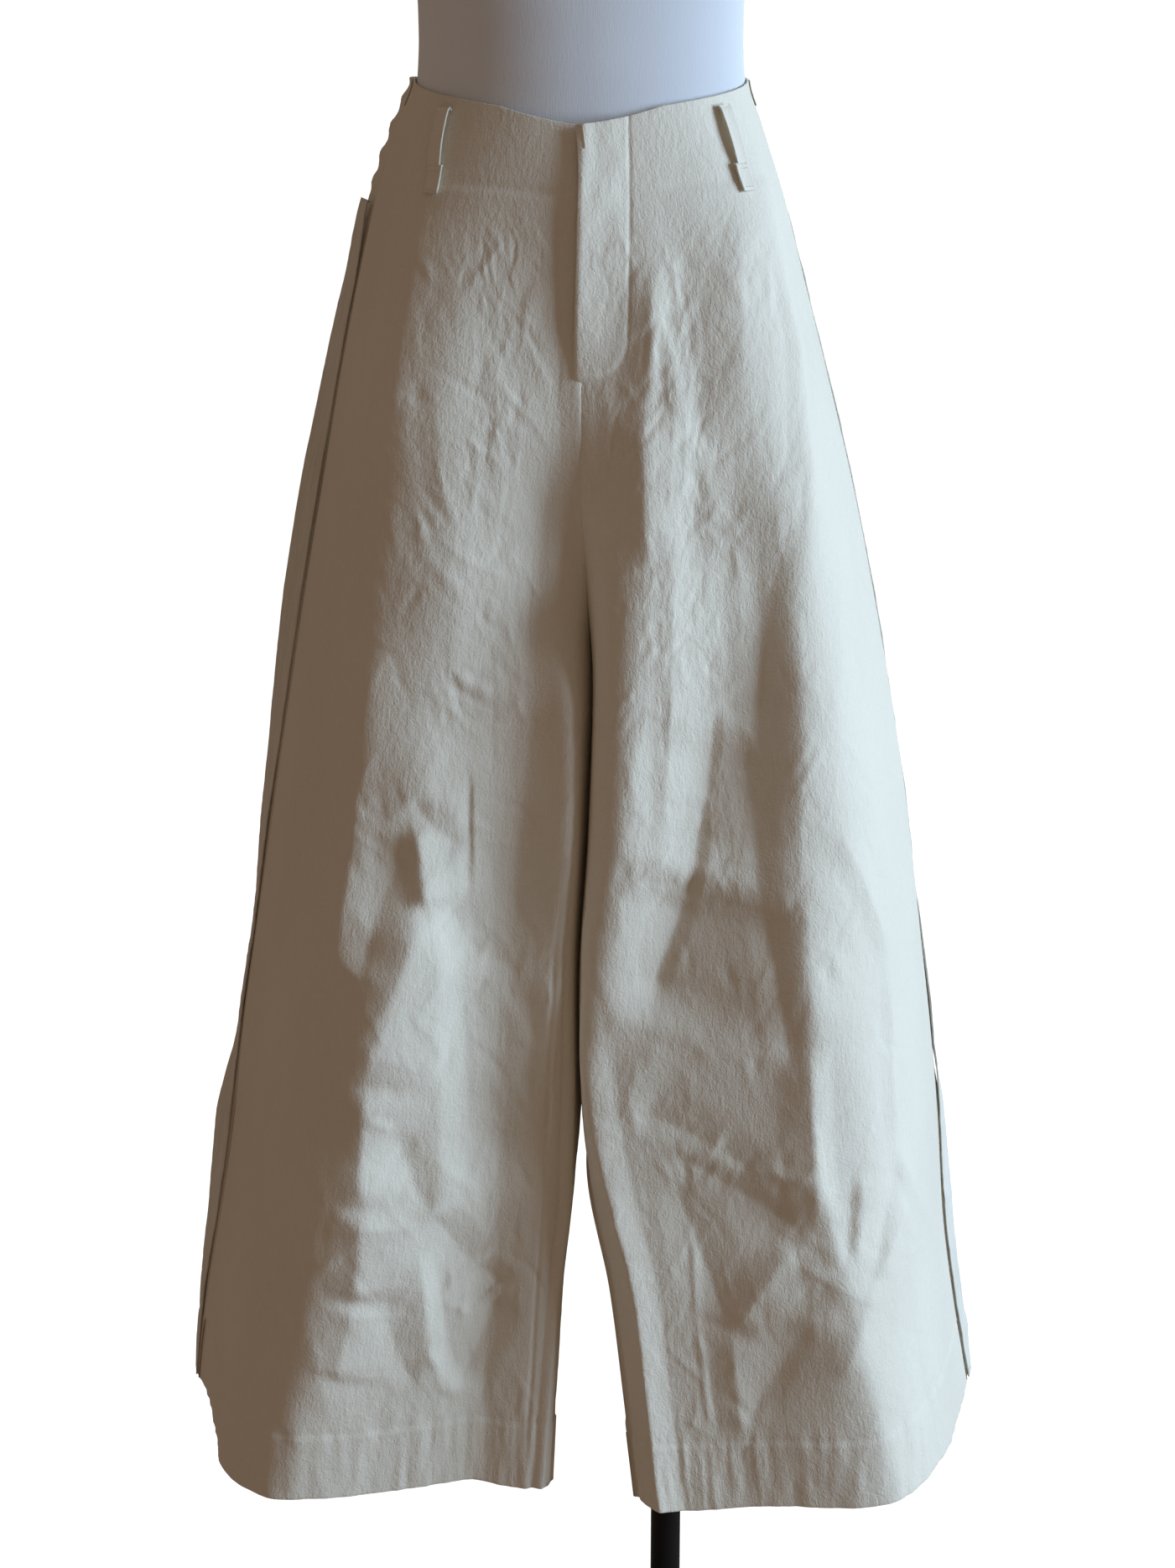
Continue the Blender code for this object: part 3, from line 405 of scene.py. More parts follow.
# Columns: x, drop, x_end, drop_end, height, inner, outer, bow.
CREASES = {
    RIGHT_FRONT: (
        # the hourglass at the knee
        (127, 510, 86, 553, -4.2, 16, 32, 2), (123, 530, 113, 594, 7, 48, 16, 0),
        (83, 490, 84, 582, -1.4, 3, 7, 0), (114, 588, 162, 726, 7.5, 55, 45, 0),
        (100, 590, 73, 634, -4, 26, 26, 2), (74, 632, 44, 646, -1.8, 20, 16, 0),
        (88, 635, 86, 770, -3, 22, 34, 0), (42, 650, 47, 750, -1.8, 16, 18, -8),
        # the lit facet and its crest above the hourglass's dark band
        (127, 540, 162, 641, -5, 24, 26, 0), (161, 636, 188, 716, -4.2, 22, 24, 0),
        (162, 490, 177, 655, 4.6, 18, 20, 0),
        # the kite below it
        (160, 722, 162, 824, 8, 45, 22, 2), (162, 818, 172, 905, 8, 50, 24, 0),
        (171, 898, 188, 975, 5.5, 50, 26, 0), (144, 760, 114, 834, -4, 22, 36, 0),
        (115, 830, 82, 886, -5, 22, 40, 0), (83, 884, 60, 908, -5, 18, 36, 0),
        (60, 905, 98, 1000, -6, 24, 36, 0), (124, 858, 117, 955, 3, 12, 26, 0),
        (118, 950, 99, 1003, 2.6, 10, 22, 0), (112, 870, 98, 992, -2, 16, 10, 0),
        (160, 748, 142, 762, 1.4, 6, 8, 0), (150, 905, 128, 990, -1.8, 22, 14, 4),
        # pinches and pressed lines on the thigh
        (92, 416, 64, 435, 1.4, 6, 8, 3), (94, 425, 66, 443, -0.8, 5, 6, 3),
        (84, 453, 40, 458, -0.4, 4, 4, 0), (84, 548, 44, 551, 0.5, 4, 5, -2),
        (83, 500, 84, 596, -0.7, 3, 8, 0), (67, 395, 66, 500, -0.4, 3, 5, 0),
        (133, 250, 140, 262, 0.8, 6, 6, 0), (150, 400, 158, 520, 1.7, 20, 16, 3),
        (100, 215, 90, 330, 0.8, 16, 12, 3), (60, 170, 52, 330, 1.3, 20, 22, 2),
        (128, 130, 120, 300, 0.9, 18, 16, 0),
        # valley beside the centre seam, and the round fold over the crotch
        (16, 70, 14, 300, -1.3, 12, 22, 0), (52, 640, 40, 760, -1.3, 14, 16, -10),
        (30, 340, 22, 540, -1.7, 16, 24, 0),
        # shallow facets on the outer thigh and calf
        (251, 692, 206, 764, 1.1, 22, 14, 2), (248, 818, 216, 846, 1.2, 20, 12, 4),
        (218, 842, 186, 874, 1.1, 22, 14, 0), (205, 560, 232, 700, 0.8, 16, 14, 0),
        (232, 640, 262, 780, -0.9, 18, 14, 0), (205, 900, 195, 1010, 1.4, 22, 18, 0),
        # the inseam, which lies on the front below the fork
        (17, 600, 26, 800, -1.1, 2.8, 2.8, 0), (26, 790, 42, 1056, -1.1, 2.8, 2.8, 0),
    ),
    LEFT_FRONT: (
        # beside the fly
        (54, 118, 46, 240, 0.7, 10, 12, 0), (78, 150, 68, 180, 0.8, 10, 10, 0),
        (66, 176, 61, 300, 1.8, 10, 20, 3), (56, 165, 75, 240, 1, 8, 12, 0),
        (74, 225, 67, 300, 1.4, 10, 22, 4), (67, 290, 57, 560, 2.5, 14, 34, 2),
        (106, 80, 70, 192, -0.9, 30, 12, 0), (78, 240, 100, 330, 0.9, 14, 12, 3),
        # the pressed line on the outer thigh, and the trough beside it
        (126, 125, 149, 288, -1.6, 26, 10, 2), (140, 150, 163, 300, 0.9, 10, 20, 2),
        (150, 270, 168, 420, -1.1, 20, 14, 0), (112, 300, 120, 430, 0.8, 14, 18, 0),
        # the facet that ends the bright thigh, and the trough at the knee
        (98, 440, 92, 520, -2, 20, 8, 0), (92, 508, 78, 590, -3.4, 26, 10, 0),
        (79, 584, 50, 668, -3.4, 26, 12, 0), (120, 460, 134, 592, -2.6, 16, 18, 0),
        (133, 585, 161, 722, -4, 16, 22, 0), (186, 530, 233, 650, 3, 16, 22, 4),
        (233, 645, 238, 792, 2.6, 14, 20, 0), (237, 786, 298, 926, 2.6, 14, 20, 0),
        (168, 690, 176, 846, 5, 24, 16, 0),
        # long slanting folds below the knee
        (39, 750, 101, 778, -2.6, 14, 30, 2), (99, 776, 129, 794, -2.2, 12, 24, 0),
        (126, 793, 176, 801, 1.6, 10, 10, 0), (75, 784, 98, 801, -2, 18, 12, 0),
        (94, 798, 163, 838, -3.2, 32, 16, 0), (65, 795, 113, 923, -3.6, 26, 30, 0),
        (83, 838, 89, 921, 1, 4, 6, 0), (89, 918, 100, 1012, 1, 4, 4, 0),
        (88, 918, 114, 926, -1, 6, 6, 0),
        # the diamond above the hem
        (160, 852, 115, 930, 4, 22, 34, 0), (115, 926, 124, 1018, 3.6, 18, 32, 0),
        (161, 855, 175, 918, -2.2, 24, 20, 0), (175, 914, 126, 1012, -3, 30, 24, 0),
        # the paired facets and the broken folds by the side
        (178, 796, 198, 878, 3.4, 14, 22, 0), (202, 812, 200, 872, -1.8, 16, 8, 0),
        (210, 796, 207, 874, 2.6, 8, 22, 0), (243, 792, 222, 882, -2.2, 22, 12, 0),
        (252, 836, 222, 888, 2.4, 12, 20, 0), (176, 878, 206, 928, -2, 20, 22, 0),
        (222, 884, 196, 970, 2.4, 18, 22, 0), (58, 690, 30, 760, 1.8, 20, 22, 0),
    ),
    RIGHT_BACK: (
        (35, 345, 120, 300, 2.8, 14, 18, 10), (45, 415, 110, 372, -2.2, 14, 16, 6),
        (95, 400, 120, 590, 4.5, 26, 34, 4), (170, 330, 190, 560, 4, 28, 24, 4),
        (120, 580, 160, 740, 7, 40, 24, 0), (85, 620, 65, 800, -3.5, 18, 26, 0),
        (205, 560, 225, 780, -3.1, 24, 22, 0), (160, 738, 120, 870, 3.6, 22, 36, 0),
        (120, 868, 150, 980, -3.1, 24, 20, 0), (235, 800, 250, 970, 2.8, 24, 20, 0),
    ),
    LEFT_BACK: (
        # backs: drag lines below the seat and broken folds behind the knee
        (40, 330, 130, 290, 2.8, 14, 18, 10), (50, 400, 120, 350, -2.4, 14, 16, 6),
        (110, 420, 85, 640, 4.8, 24, 34, 4), (185, 380, 215, 620, 3.5, 28, 22, 4),
        (150, 560, 100, 700, -3.9, 18, 26, 0), (100, 690, 150, 830, 3.9, 34, 20, 0),
        (205, 640, 232, 880, -3.4, 22, 22, 0), (150, 830, 115, 960, 3.1, 20, 34, 0),
        (60, 720, 70, 940, -2.1, 16, 20, 4), (250, 760, 262, 960, 2.5, 22, 18, 0),
    ),
}
# Places where the cloth is smoother than elsewhere. Columns: x, drop, half_width, half_length, and
# keep, the share of the crinkle left there.
CALM = {
    RIGHT_FRONT: (
        (60, 500, 30, 160, 0.35), (20, 300, 26, 300, 0.15), (130, 680, 40, 90, 0.45),
        (30, 800, 30, 160, 0.35), (250, 600, 60, 500, 0.15), (185, 250, 40, 250, 0.25),
    ),
    LEFT_FRONT: (
        (220, 300, 60, 250, 0.1), (10, 480, 16, 260, 0.1), (280, 650, 45, 300, 0.2),
        (140, 940, 30, 60, 0.45),
    ),
    RIGHT_BACK: (),
    LEFT_BACK: (),
}


# ---- fields over the cloth ---------------------------------------------------------------------
def hashed_angles(seed, size=128):
    angle = np.random.default_rng(seed).uniform(0, 2 * math.pi, (size, size))
    return np.cos(angle), np.sin(angle)


def gradient_noise(a, b, seed):
    """Smooth noise of two coordinates, roughly -0.7 to 0.7, with features about one unit wide."""
    gx, gy = hashed_angles(seed)
    size = gx.shape[0]
    ia, ib = np.floor(a).astype(int), np.floor(b).astype(int)
    fa, fb = a - ia, b - ib

    def corner(i, j):
        ca, cb = (ia + i) % size, (ib + j) % size
        return gx[ca, cb] * (fa - i) + gy[ca, cb] * (fb - j)

    sa = fa ** 3 * (fa * (fa * 6 - 15) + 10)
    sb = fb ** 3 * (fb * (fb * 6 - 15) + 10)
    low = corner(0, 0) * (1 - sa) + corner(1, 0) * sa
    high = corner(0, 1) * (1 - sa) + corner(1, 1) * sa
    return low * (1 - sb) + high * sb


def path_lengths(points):
    """The length of a path up to each of its points."""
    steps = np.linalg.norm(np.diff(points, axis=0), axis=1)
    return np.concatenate(([0.0], np.cumsum(steps)))


def unit(v):
    return v / np.maximum(np.linalg.norm(v, axis=-1, keepdims=True), 1e-12)


def bell(distance, width):
    return np.exp(-(distance / width) ** 2)


TENT_POWER = 1.35        # a tent's flanks are a little hollow
TENT_BLUNT = 0.0010      # and its crest a little round


def tent(distance, before, after):
    """1 at a line, falling to 0 over one width before it and another after it."""
    d = np.sqrt(distance ** 2 + TENT_BLUNT ** 2) - TENT_BLUNT
    return np.clip(1 - d / np.where(distance < 0, before, after), 0, 1) ** TENT_POWER


class Cloth:
    """One panel's fine grid: smooth points, normals, lengths, and the relief added to them.

    relief dies away at the panel's seams, lift doesn't.
    """

    def __init__(self, side, face, rows, columns):
        self.side, self.face, self.panel = side, face, (side, face)
        self.u = np.linspace(0.0, 1.0, columns + 1)
        self.rings = Rings(side, face, self.u)
        self.levels = np.linspace(0.0, SIDE_LENGTH, rows + 1)
        self.points = self.rings.surface(self.levels)
        self.normals = self.find_normals(self.points)
        steps = np.linalg.norm(np.diff(self.points, axis=1), axis=2)
        lengths = np.concatenate((np.zeros((rows + 1, 1)), np.cumsum(steps, axis=1)), axis=1)
        self.from_side = lengths
        self.from_inner = lengths[:, -1:] - lengths
        self.across = lengths - lengths[:, columns // 2][:, None]
        self.down = np.broadcast_to(self.levels[:, None], lengths.shape)
        self.drop = WAIST_Z - self.points[..., 2]
        self.x = np.abs(self.points[..., 0])
        self.facing = smooth_step((np.abs(self.normals[..., 1]) - 0.15) / 0.5)
        self.relief = np.zeros(lengths.shape)
        self.lift = np.zeros(lengths.shape)
        self.forward = np.zeros(lengths.shape)

    def find_normals(self, points):
        du = np.gradient(points, axis=1)
        dv = np.gradient(points, axis=0)
        return unit(np.cross(du, dv)) * (self.side * -self.face)

    def place(self, x, drop):
        """Row and column of the smooth surface at a distance from the centre plane and a drop."""
        row = int(np.argmin(np.abs(self.drop[:, self.u.size // 2] - drop)))
        xs = self.x[row]
        deepest = int(np.argmax(np.abs(self.points[row, :, 1])))
        if x > xs[deepest]:
            column = int(np.argmin(np.abs(xs[:deepest + 1] - x)))
        else:
            column = deepest + int(np.argmin(np.abs(xs[deepest:] - x)))
        row = int(np.argmin(np.abs(self.drop[:, column] - drop)))
        return row, column

    def folds(self):
        for row in FOLDS[self.panel]:
            x_top, top, x_end, end, half_width, height = (v / PER_METRE for v in row)
            t = (self.drop - top) / (end - top)
            centre = x_top + (x_end - x_top) * t
            fade = smooth_step((t + 0.2) / 0.35) * smooth_step((1.2 - t) / 0.35)
            self.relief += self.facing * height * fade * bell(self.x - centre, half_width)

    def swells(self):
        for row in SWELLS[self.panel]:
            x, drop, x_end, drop_end, height, inner, outer, blunt = (v / PER_METRE for v in row)
            self.crease((x, drop), (x_end, drop_end), height, inner, outer, 0.0, blunt, SWELL_FADE,
                        open_end=drop_end > SWELL_RUNS_OUT)

    def creases(self):
        for row in CREASES[self.panel]:
            x, drop, x_end, drop_end, height, inner, outer, bow = (v / PER_METRE for v in row)
            self.crease((x, drop), (x_end, drop_end), height, inner, outer, bow)

    def crease(self, start, end, height, inner, outer, bow=0.0, blunt=TENT_BLUNT, fade=0.22,
               open_end=False):
        """One tent-shaped ridge or trough between two places, each an (x, drop)."""
        joints = 7
        t = np.linspace(0, 1, joints)
        dx, dd = end[0] - start[0], end[1] - start[1]
        size = math.hypot(dx, dd)
        bend = bow * 4 * t * (1 - t)
        xs = start[0] + dx * t + bend * abs(dd) / size
        drops = start[1] + dd * t - bend * dx * (1 if dd >= 0 else -1) / size
        spots = [self.place(x, d) for x, d in zip(xs, drops)]
        line = np.array([self.points[r, c] for r, c in spots])
        normal = np.array([self.normals[r, c] for r, c in spots])
        total = path_lengths(line)
        if total[-1] < 0.002:
            return
        rows = [r for r, _ in spots]
        pad = int((max(inner, outer) + 0.004) / (self.levels[1] - self.levels[0])) + 2
        low, high = max(0, min(rows) - pad), min(len(self.levels), max(rows) + pad + 1)
        block = self.points[low:high]
        best = np.full(block.shape[:2], 1e9)
        sideways = np.zeros(block.shape[:2])
        along = np.zeros(block.shape[:2])
        for k in range(joints - 1):
            ab = line[k + 1] - line[k]
            length = max(float(np.linalg.norm(ab)), 1e-9)
            rel = block - line[k]
            s = np.clip(rel @ ab / length ** 2, 0, 1)
            off = rel - s[..., None] * ab
            d = np.linalg.norm(off, axis=-1)
            across = np.cross(normal[k] + normal[k + 1], ab)
            across *= (1 if across[0] * self.side >= 0 else -1) / max(np.linalg.norm(across), 1e-12)
            closer = d < best
            best = np.where(closer, d, best)
            sideways = np.where(closer, off @ across, sideways)
            along = np.where(closer, (total[k] + s * length) / total[-1], along)
        width = np.where(sideways > 0, outer, inner)
        d = np.sqrt(best ** 2 + blunt ** 2) - blunt
        shape = np.clip(1 - d / width, 0, 1) ** TENT_POWER
        ends = smooth_step(along / fade)
        if not open_end:
            ends = ends * smooth_step((1 - along) / fade)
        self.relief[low:high] += self.facing[low:high] * height * shape * (0.12 + 0.88 * ends)

    def calm(self):
        """The share of the crinkle kept at each place: little at the waist, sides and calm spots."""
        keep = 0.30 + 0.70 * smooth_step((self.down - 0.05) / 0.10)
        keep = keep * (0.25 + 0.75 * smooth_step((self.u[None, :] - 0.14) / 0.22))
        for *place, left in CALM[self.panel]:
            x, drop, half_width, half_length = (v / PER_METRE for v in place)
            near = bell(self.x - x, half_width) * bell(self.drop - drop, half_length)
            keep = keep * (1 - (1 - left) * near)
        return keep

    def flow(self):
        """Distance across, slanted towards the crotch above the fork as the crinkles lie."""
        slant = np.interp(self.levels, (0.0, 0.10, 0.30, 0.48), (0.15, 0.55, 0.45, 0.0))
        step = self.levels[1] - self.levels[0]
        return self.across - np.cumsum(slant * step)[:, None]

    def crinkle(self, seed):
        """Fine creasing of washed canvas: long dents, sharp little ridges and broad waves."""
        keep = self.calm() * (1 - 0.5 * smooth_step((self.down - 0.52) / 0.16))
        flow = self.flow()
        patch = np.clip(0.55 + 1.3 * gradient_noise(self.across / 0.050, self.down / 0.080, seed),
                        0.15, 1.3)
        bend = gradient_noise(flow / 0.028, self.down / 0.040, seed + 1)
        warp = gradient_noise(flow / 0.019, self.down / 0.024, seed + 2)
        wave = gradient_noise(self.across / 0.050, self.down / 0.110, seed + 3)
        dent = gradient_noise(flow / 0.020 + bend, self.down / 0.044 + 0.8 * warp, seed + 4)
        lines = gradient_noise(flow / 0.0120 + 1.2 * bend, self.down / 0.026 + warp, seed + 5)
        finer = gradient_noise(flow / 0.0070 + warp, self.down / 0.014 + 1.3 * bend, seed + 6)
        grain = gradient_noise(flow / 0.0042 - bend, self.down / 0.0090, seed + 7)
        self.relief += 0.0009 * wave
        self.relief += keep * patch * (0.00050 * dent
                                       + 0.00035 * np.maximum(0, 1 - 5.0 * np.abs(lines))
                                       - 0.00028 * np.maximum(0, 1 - 5.0 * np.abs(finer)))
        self.relief += (0.35 + 0.65 * keep) * 0.00016 * grain

    def scatter(self, seed, count):
        """Small creases at seeded places, mostly along the flow of the cloth."""
        draw = np.random.default_rng(seed)
        keep = self.calm()
        for _ in range(count):
            row = int(draw.integers(int(0.09 * len(self.levels)), int(0.95 * len(self.levels))))
            column = int(draw.integers(int(0.16 * self.u.size), int(0.90 * self.u.size)))
            length = draw.uniform(0.010, 0.055)
            lean = draw.normal(0.30 if self.levels[row] < 0.42 else 0.0, 0.60)
            height = draw.choice((-1, 1)) * draw.uniform(0.0002, 0.0007)
            inner, outer = draw.uniform(0.0025, 0.009, 2)
            if keep[row, column] < 0.4:
                continue
            x, drop = self.x[row, column], self.drop[row, column]
            end = (max(0.02, x - lean * length), min(drop + length, SIDE_LENGTH - 0.02))
            self.crease((x, drop), end, height, inner, outer, draw.normal(0, 0.003), 0.0006, 0.4)

    def ease(self):
        """0 at the seams, 1 away from them, so that neighbouring panels keep meeting."""
        return smooth_step(self.from_side / SEAM_REACH) * smooth_step(self.from_inner / SEAM_REACH)

    def seams(self):
        """Both long edges sink into their seams."""
        self.lift -= 0.0010 * bell(self.from_side, 0.0016) + 0.0010 * bell(self.from_inner, 0.0016)

    def facing_edge(self, height, first, last):
        """The step where the waist facing ends inside."""
        u = self.u[None, :]
        part = smooth_step((u - first) / 0.12) * smooth_step((last - u) / 0.12)
        d = self.down - FACING_DEPTH
        self.relief += height * part * (smooth_step(d / 0.006) * bell(np.maximum(d, 0), 0.030)
                                        - 0.55 * bell(d + 0.002, 0.0045))

    def hem(self, seed):
        """Two plies below the hem stitching, puckered along it."""
        d = self.down - HEM_LINE
        pucker = gradient_noise(self.across / 0.011, self.down / 0.060, seed)
        pucker = pucker + 0.5 * gradient_noise(self.across / 0.0055, self.down / 0.030, seed + 1)
        self.relief += 0.0007 * smooth_step(d / 0.002) - 0.0008 * bell(d, 0.0012)
        self.relief += 0.0013 * pucker * smooth_step((d + 0.014) / 0.016)
        self.relief += 0.0012 * gradient_noise(self.across / 0.045, self.down / 0.3, seed + 2) \
            * smooth_step((d + 0.04) / 0.07)

    def gathers(self, seed):
        """The elasticated back waist: fine gathers held by rows of stitching."""
        depth = 0.5 - 0.5 * np.cos(2 * math.pi * (self.down - SHIR_TOP) / SHIR_STEP)
        fade = smooth_step((SHIR_END - self.down) / 0.02) * smooth_step(self.from_side / 0.03)
        phase = self.across / 0.0068 + 0.8 * gradient_noise(self.across / 0.03, self.down / 0.02,
                                                            seed)
        fine = 0.5 + 0.5 * np.sin(2 * math.pi * phase + 2.0 * gradient_noise(
            self.across / 0.011, self.down / 0.010, seed + 1))
        self.lift += fade * (0.0026 * fine * (0.35 + 0.65 * depth) + 0.0014 * depth
                             - 0.0004)
        below = smooth_step((self.down - SHIR_END + 0.03) / 0.03) \
            * smooth_step((SHIR_END + 0.10 - self.down) / 0.10)
        self.relief += 0.0022 * below * gradient_noise(self.across / 0.013, self.down / 0.090,
                                                       seed + 2)

    def fly_shape(self):
        """The fly overlap of the left front: proud at its free edge, sunk at its J stitching."""
        t = self.from_inner / FLY_WIDTH
        below = np.maximum(0.0, self.down - FLY_LENGTH) / FLY_TURN
        reach = (np.maximum(t, 0) ** FLY_POWER + below ** FLY_POWER) ** (1 / FLY_POWER)
        inside = smooth_step((1.0 - reach) / 0.10)
        end = 1 - 0.55 * smooth_step((self.down - FLY_LENGTH + 0.02) / (0.02 + FLY_TURN))
        height = (0.0003 + 0.0072 * end * np.clip(1 - t, 0, 1) ** 1.4)
        self.lift += inside * height - 0.0005 * bell(reach - 1.0, 0.040)
        # soft dents at the top of the fly and a shallow trough beyond its stitching
        self.relief += 0.0014 * gradient_noise(self.from_inner / 0.016, self.down / 0.045, 77) \
            * smooth_step((1.1 - t) / 0.3) * smooth_step((FLY_LENGTH - self.down) / 0.05)

    def centre_ridge(self, height, width):
        """Both fronts rise to the centre front, where the fly's plies lie on each other."""
        part = smooth_step((self.down + 0.02) / 0.10) * smooth_step((0.42 - self.down) / 0.20)
        self.lift += height * part * np.exp(-(self.from_inner / width) ** 1.3)

    def sunken_front(self, depth, width, first, last):
        """Beside the pressed inner edge the front lies back, so the edge stands forward."""
        part = smooth_step((self.down - first) / 0.08) * smooth_step((last - self.down) / 0.20)
        back = 1 - np.exp(-(self.x / width) ** 2)
        self.forward -= depth * part * back * self.facing

    def rolled_inseam(self, cord, groove, strip):
        """The left inseam's fine cord and groove, and the raised strip beside its fold."""
        cord_part = smooth_step((self.down - FORK - 0.25) / 0.10)
        strip_part = smooth_step((self.down - 0.64) / 0.08)
        from_edge = self.x - np.min(self.x, axis=1, keepdims=True)
        from_fold = from_edge - 0.0180 * smooth_step((self.down - 0.62) / 0.26)
        self.lift += cord_part * (cord * bell(self.from_inner - 0.0022, 0.0014)
                                  - groove * bell(self.from_inner - 0.0056, 0.0014))
        self.lift += strip_part * strip * self.facing * tent(from_fold, 0.012, 0.018)

    def row_at(self, level):
        return int(np.argmin(np.abs(self.levels - level)))

    def setback(self):
        """How far the right front lies behind its smooth form, to make room for its swells."""
        if self.panel != RIGHT_FRONT:
            return 0.0
        return SETBACK * smooth_step((self.down - 0.50) / 0.30) * self.facing

    def hem_rise(self):
        """How far the hem lifts: evenly on the left leg, in one shallow arch on the right."""
        if self.side > 0:
            rise = HEM_RISE_LEFT * smooth_step((self.x - 0.060) / 0.120)
        else:
            rise = HEM_RISE_RIGHT * smooth_step((self.x - 0.038) / 0.058)
            rise = rise + HEM_ARCH * bell(self.x - 0.21, 0.03)
        return rise * smooth_step((self.down - 0.84) / 0.20)

    def settle(self):
        """The finished outer skin, with all its relief."""
        height = (self.relief - self.setback()) * self.ease() + self.lift
        self.skin = sway(self.points + self.normals * height[..., None])
        self.skin[..., 1] -= self.forward
        self.skin[..., 2] += self.hem_rise()
        self.skin_normals = self.find_normals(self.skin)

    def at(self, level, u, lift=0.0):
        """A place on the finished skin, moved out by lift, and the normal of the smooth cloth."""
        r = np.clip(level / (self.levels[1] - self.levels[0]), 0, len(self.levels) - 1.001)
        c = np.clip(u * (self.u.size - 1), 0, self.u.size - 1.001)
        i, j = int(r), int(c)
        a, b = r - i, c - j
        weights = ((i, j, (1 - a) * (1 - b)), (i, j + 1, (1 - a) * b), (i + 1, j, a * (1 - b)),
                   (i + 1, j + 1, a * b))
        point = sum(self.skin[p, q] * w for p, q, w in weights)
        normal = unit(sum(self.normals[p, q] * w for p, q, w in weights))
        return point + normal * lift, normal

    def u_from_inner(self, level, distance):
        row = self.row_at(level)
        return float(np.interp(distance, self.from_inner[row, ::-1], self.u[::-1]))


def sway(points):
    shift = SWAY_AT(WAIST_Z - points[..., 2], "shift")
    moved = points.copy()
    front = smooth_step((0.03 - points[..., 1]) / 0.06)
    moved[..., 0] += shift * np.exp(-(points[..., 0] / SWAY_REACH) ** 2) * front
    return moved


# ---- making meshes -----------------------------------------------------------------------------
def add_object(name, mesh, look):
    mesh.shade_smooth()
    thing = bpy.data.objects.new(name, mesh)
    bpy.context.scene.collection.objects.link(thing)
    mesh.materials.append(look)
    return thing


def attach(piece, slot, *nodes):
    """Every piece rides on the one body; most stand for CAD nodes."""
    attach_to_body(piece, "root")
    if nodes:
        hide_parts(*nodes)
    return piece


def grid_mesh(name, points, look, uv=None, flip=False, closed=False):
    """A smooth sheet through a grid of points [row, column, 3]; closed joins its last column."""
    rows, columns = points.shape[:2]
    index = np.arange(rows * columns).reshape(rows, columns)
    if closed:
        index = np.concatenate((index, index[:, :1]), axis=1)
    a, b, c, d = index[:-1, :-1], index[:-1, 1:], index[1:, 1:], index[1:, :-1]
    order = (a, d, c, b) if flip else (a, b, c, d)
    faces = np.stack(order, axis=-1).reshape(-1, 4)
    mesh = bpy.data.meshes.new(name)
    mesh.vertices.add(rows * columns)
    mesh.vertices.foreach_set("co", points.reshape(-1).astype(np.float32))
    mesh.loops.add(faces.size)
    mesh.loops.foreach_set("vertex_index", faces.reshape(-1).astype(np.int32))
    mesh.polygons.add(len(faces))
    mesh.polygons.foreach_set("loop_start", np.arange(0, faces.size, 4, dtype=np.int32))
    mesh.polygons.foreach_set("loop_total", np.full(len(faces), 4, dtype=np.int32))
    mesh.update(calc_edges=True)
    if uv is not None:
        layer = mesh.uv_layers.new(name="cut")
        spots = uv.reshape(-1, 2)[faces.reshape(-1)]
        layer.data.foreach_set("uv", spots.reshape(-1).astype(np.float32))
    return add_object(name, mesh, look)


def join_pieces(name, pieces):
    """One object from several, with their materials and UVs kept."""
    with bpy.context.temp_override(active_object=pieces[0], selected_editable_objects=pieces,
                                   selected_objects=pieces, object=pieces[0]):
        bpy.ops.object.join()
    pieces[0].name = name
    pieces[0].data.name = name
    return pieces[0]


def strip(name, centres, normals, width, thickness, look, bead=0.0):
    """A closed flat strip along a path: rounded edges, capped ends, a bead along both edges."""
    centres, normals = np.array(centres), unit(np.array(normals))
    along = unit(np.gradient(centres, axis=0))
    side = unit(np.cross(along, normals))
    out = unit(np.cross(side, along))
    shape = ((-0.5, 0.0, 0.5), (-0.49, 0.36, 0.8), (-0.44, 0.5, 1.0), (-0.36, 0.5, 0.35),
             (-0.2, 0.5, 0.0), (0.2, 0.5, 0.0), (0.36, 0.5, 0.35), (0.44, 0.5, 1.0),
             (0.49, 0.36, 0.8), (0.5, 0.0, 0.5), (0.47, -0.5, 0.0), (0.0, -0.5, 0.0),
             (-0.47, -0.5, 0.0))
    rows, uv = [], []
    total = path_lengths(centres)
    ends = [(0, 0.0), *((i, 1.0) for i in range(len(centres))), (len(centres) - 1, 0.0)]
    for i, full in ends:
        rows.append([centres[i] + side[i] * w * width * (1 if full else 0.97)
                     + out[i] * full * (h * thickness + b * bead) for w, h, b in shape])
        uv.append([(w * width + 7.0 + 0.01 * abs(h), total[i] + 3.0) for w, h, _ in shape])
    return grid_mesh(name, np.array(rows), look, np.array(uv), flip=True, closed=True)


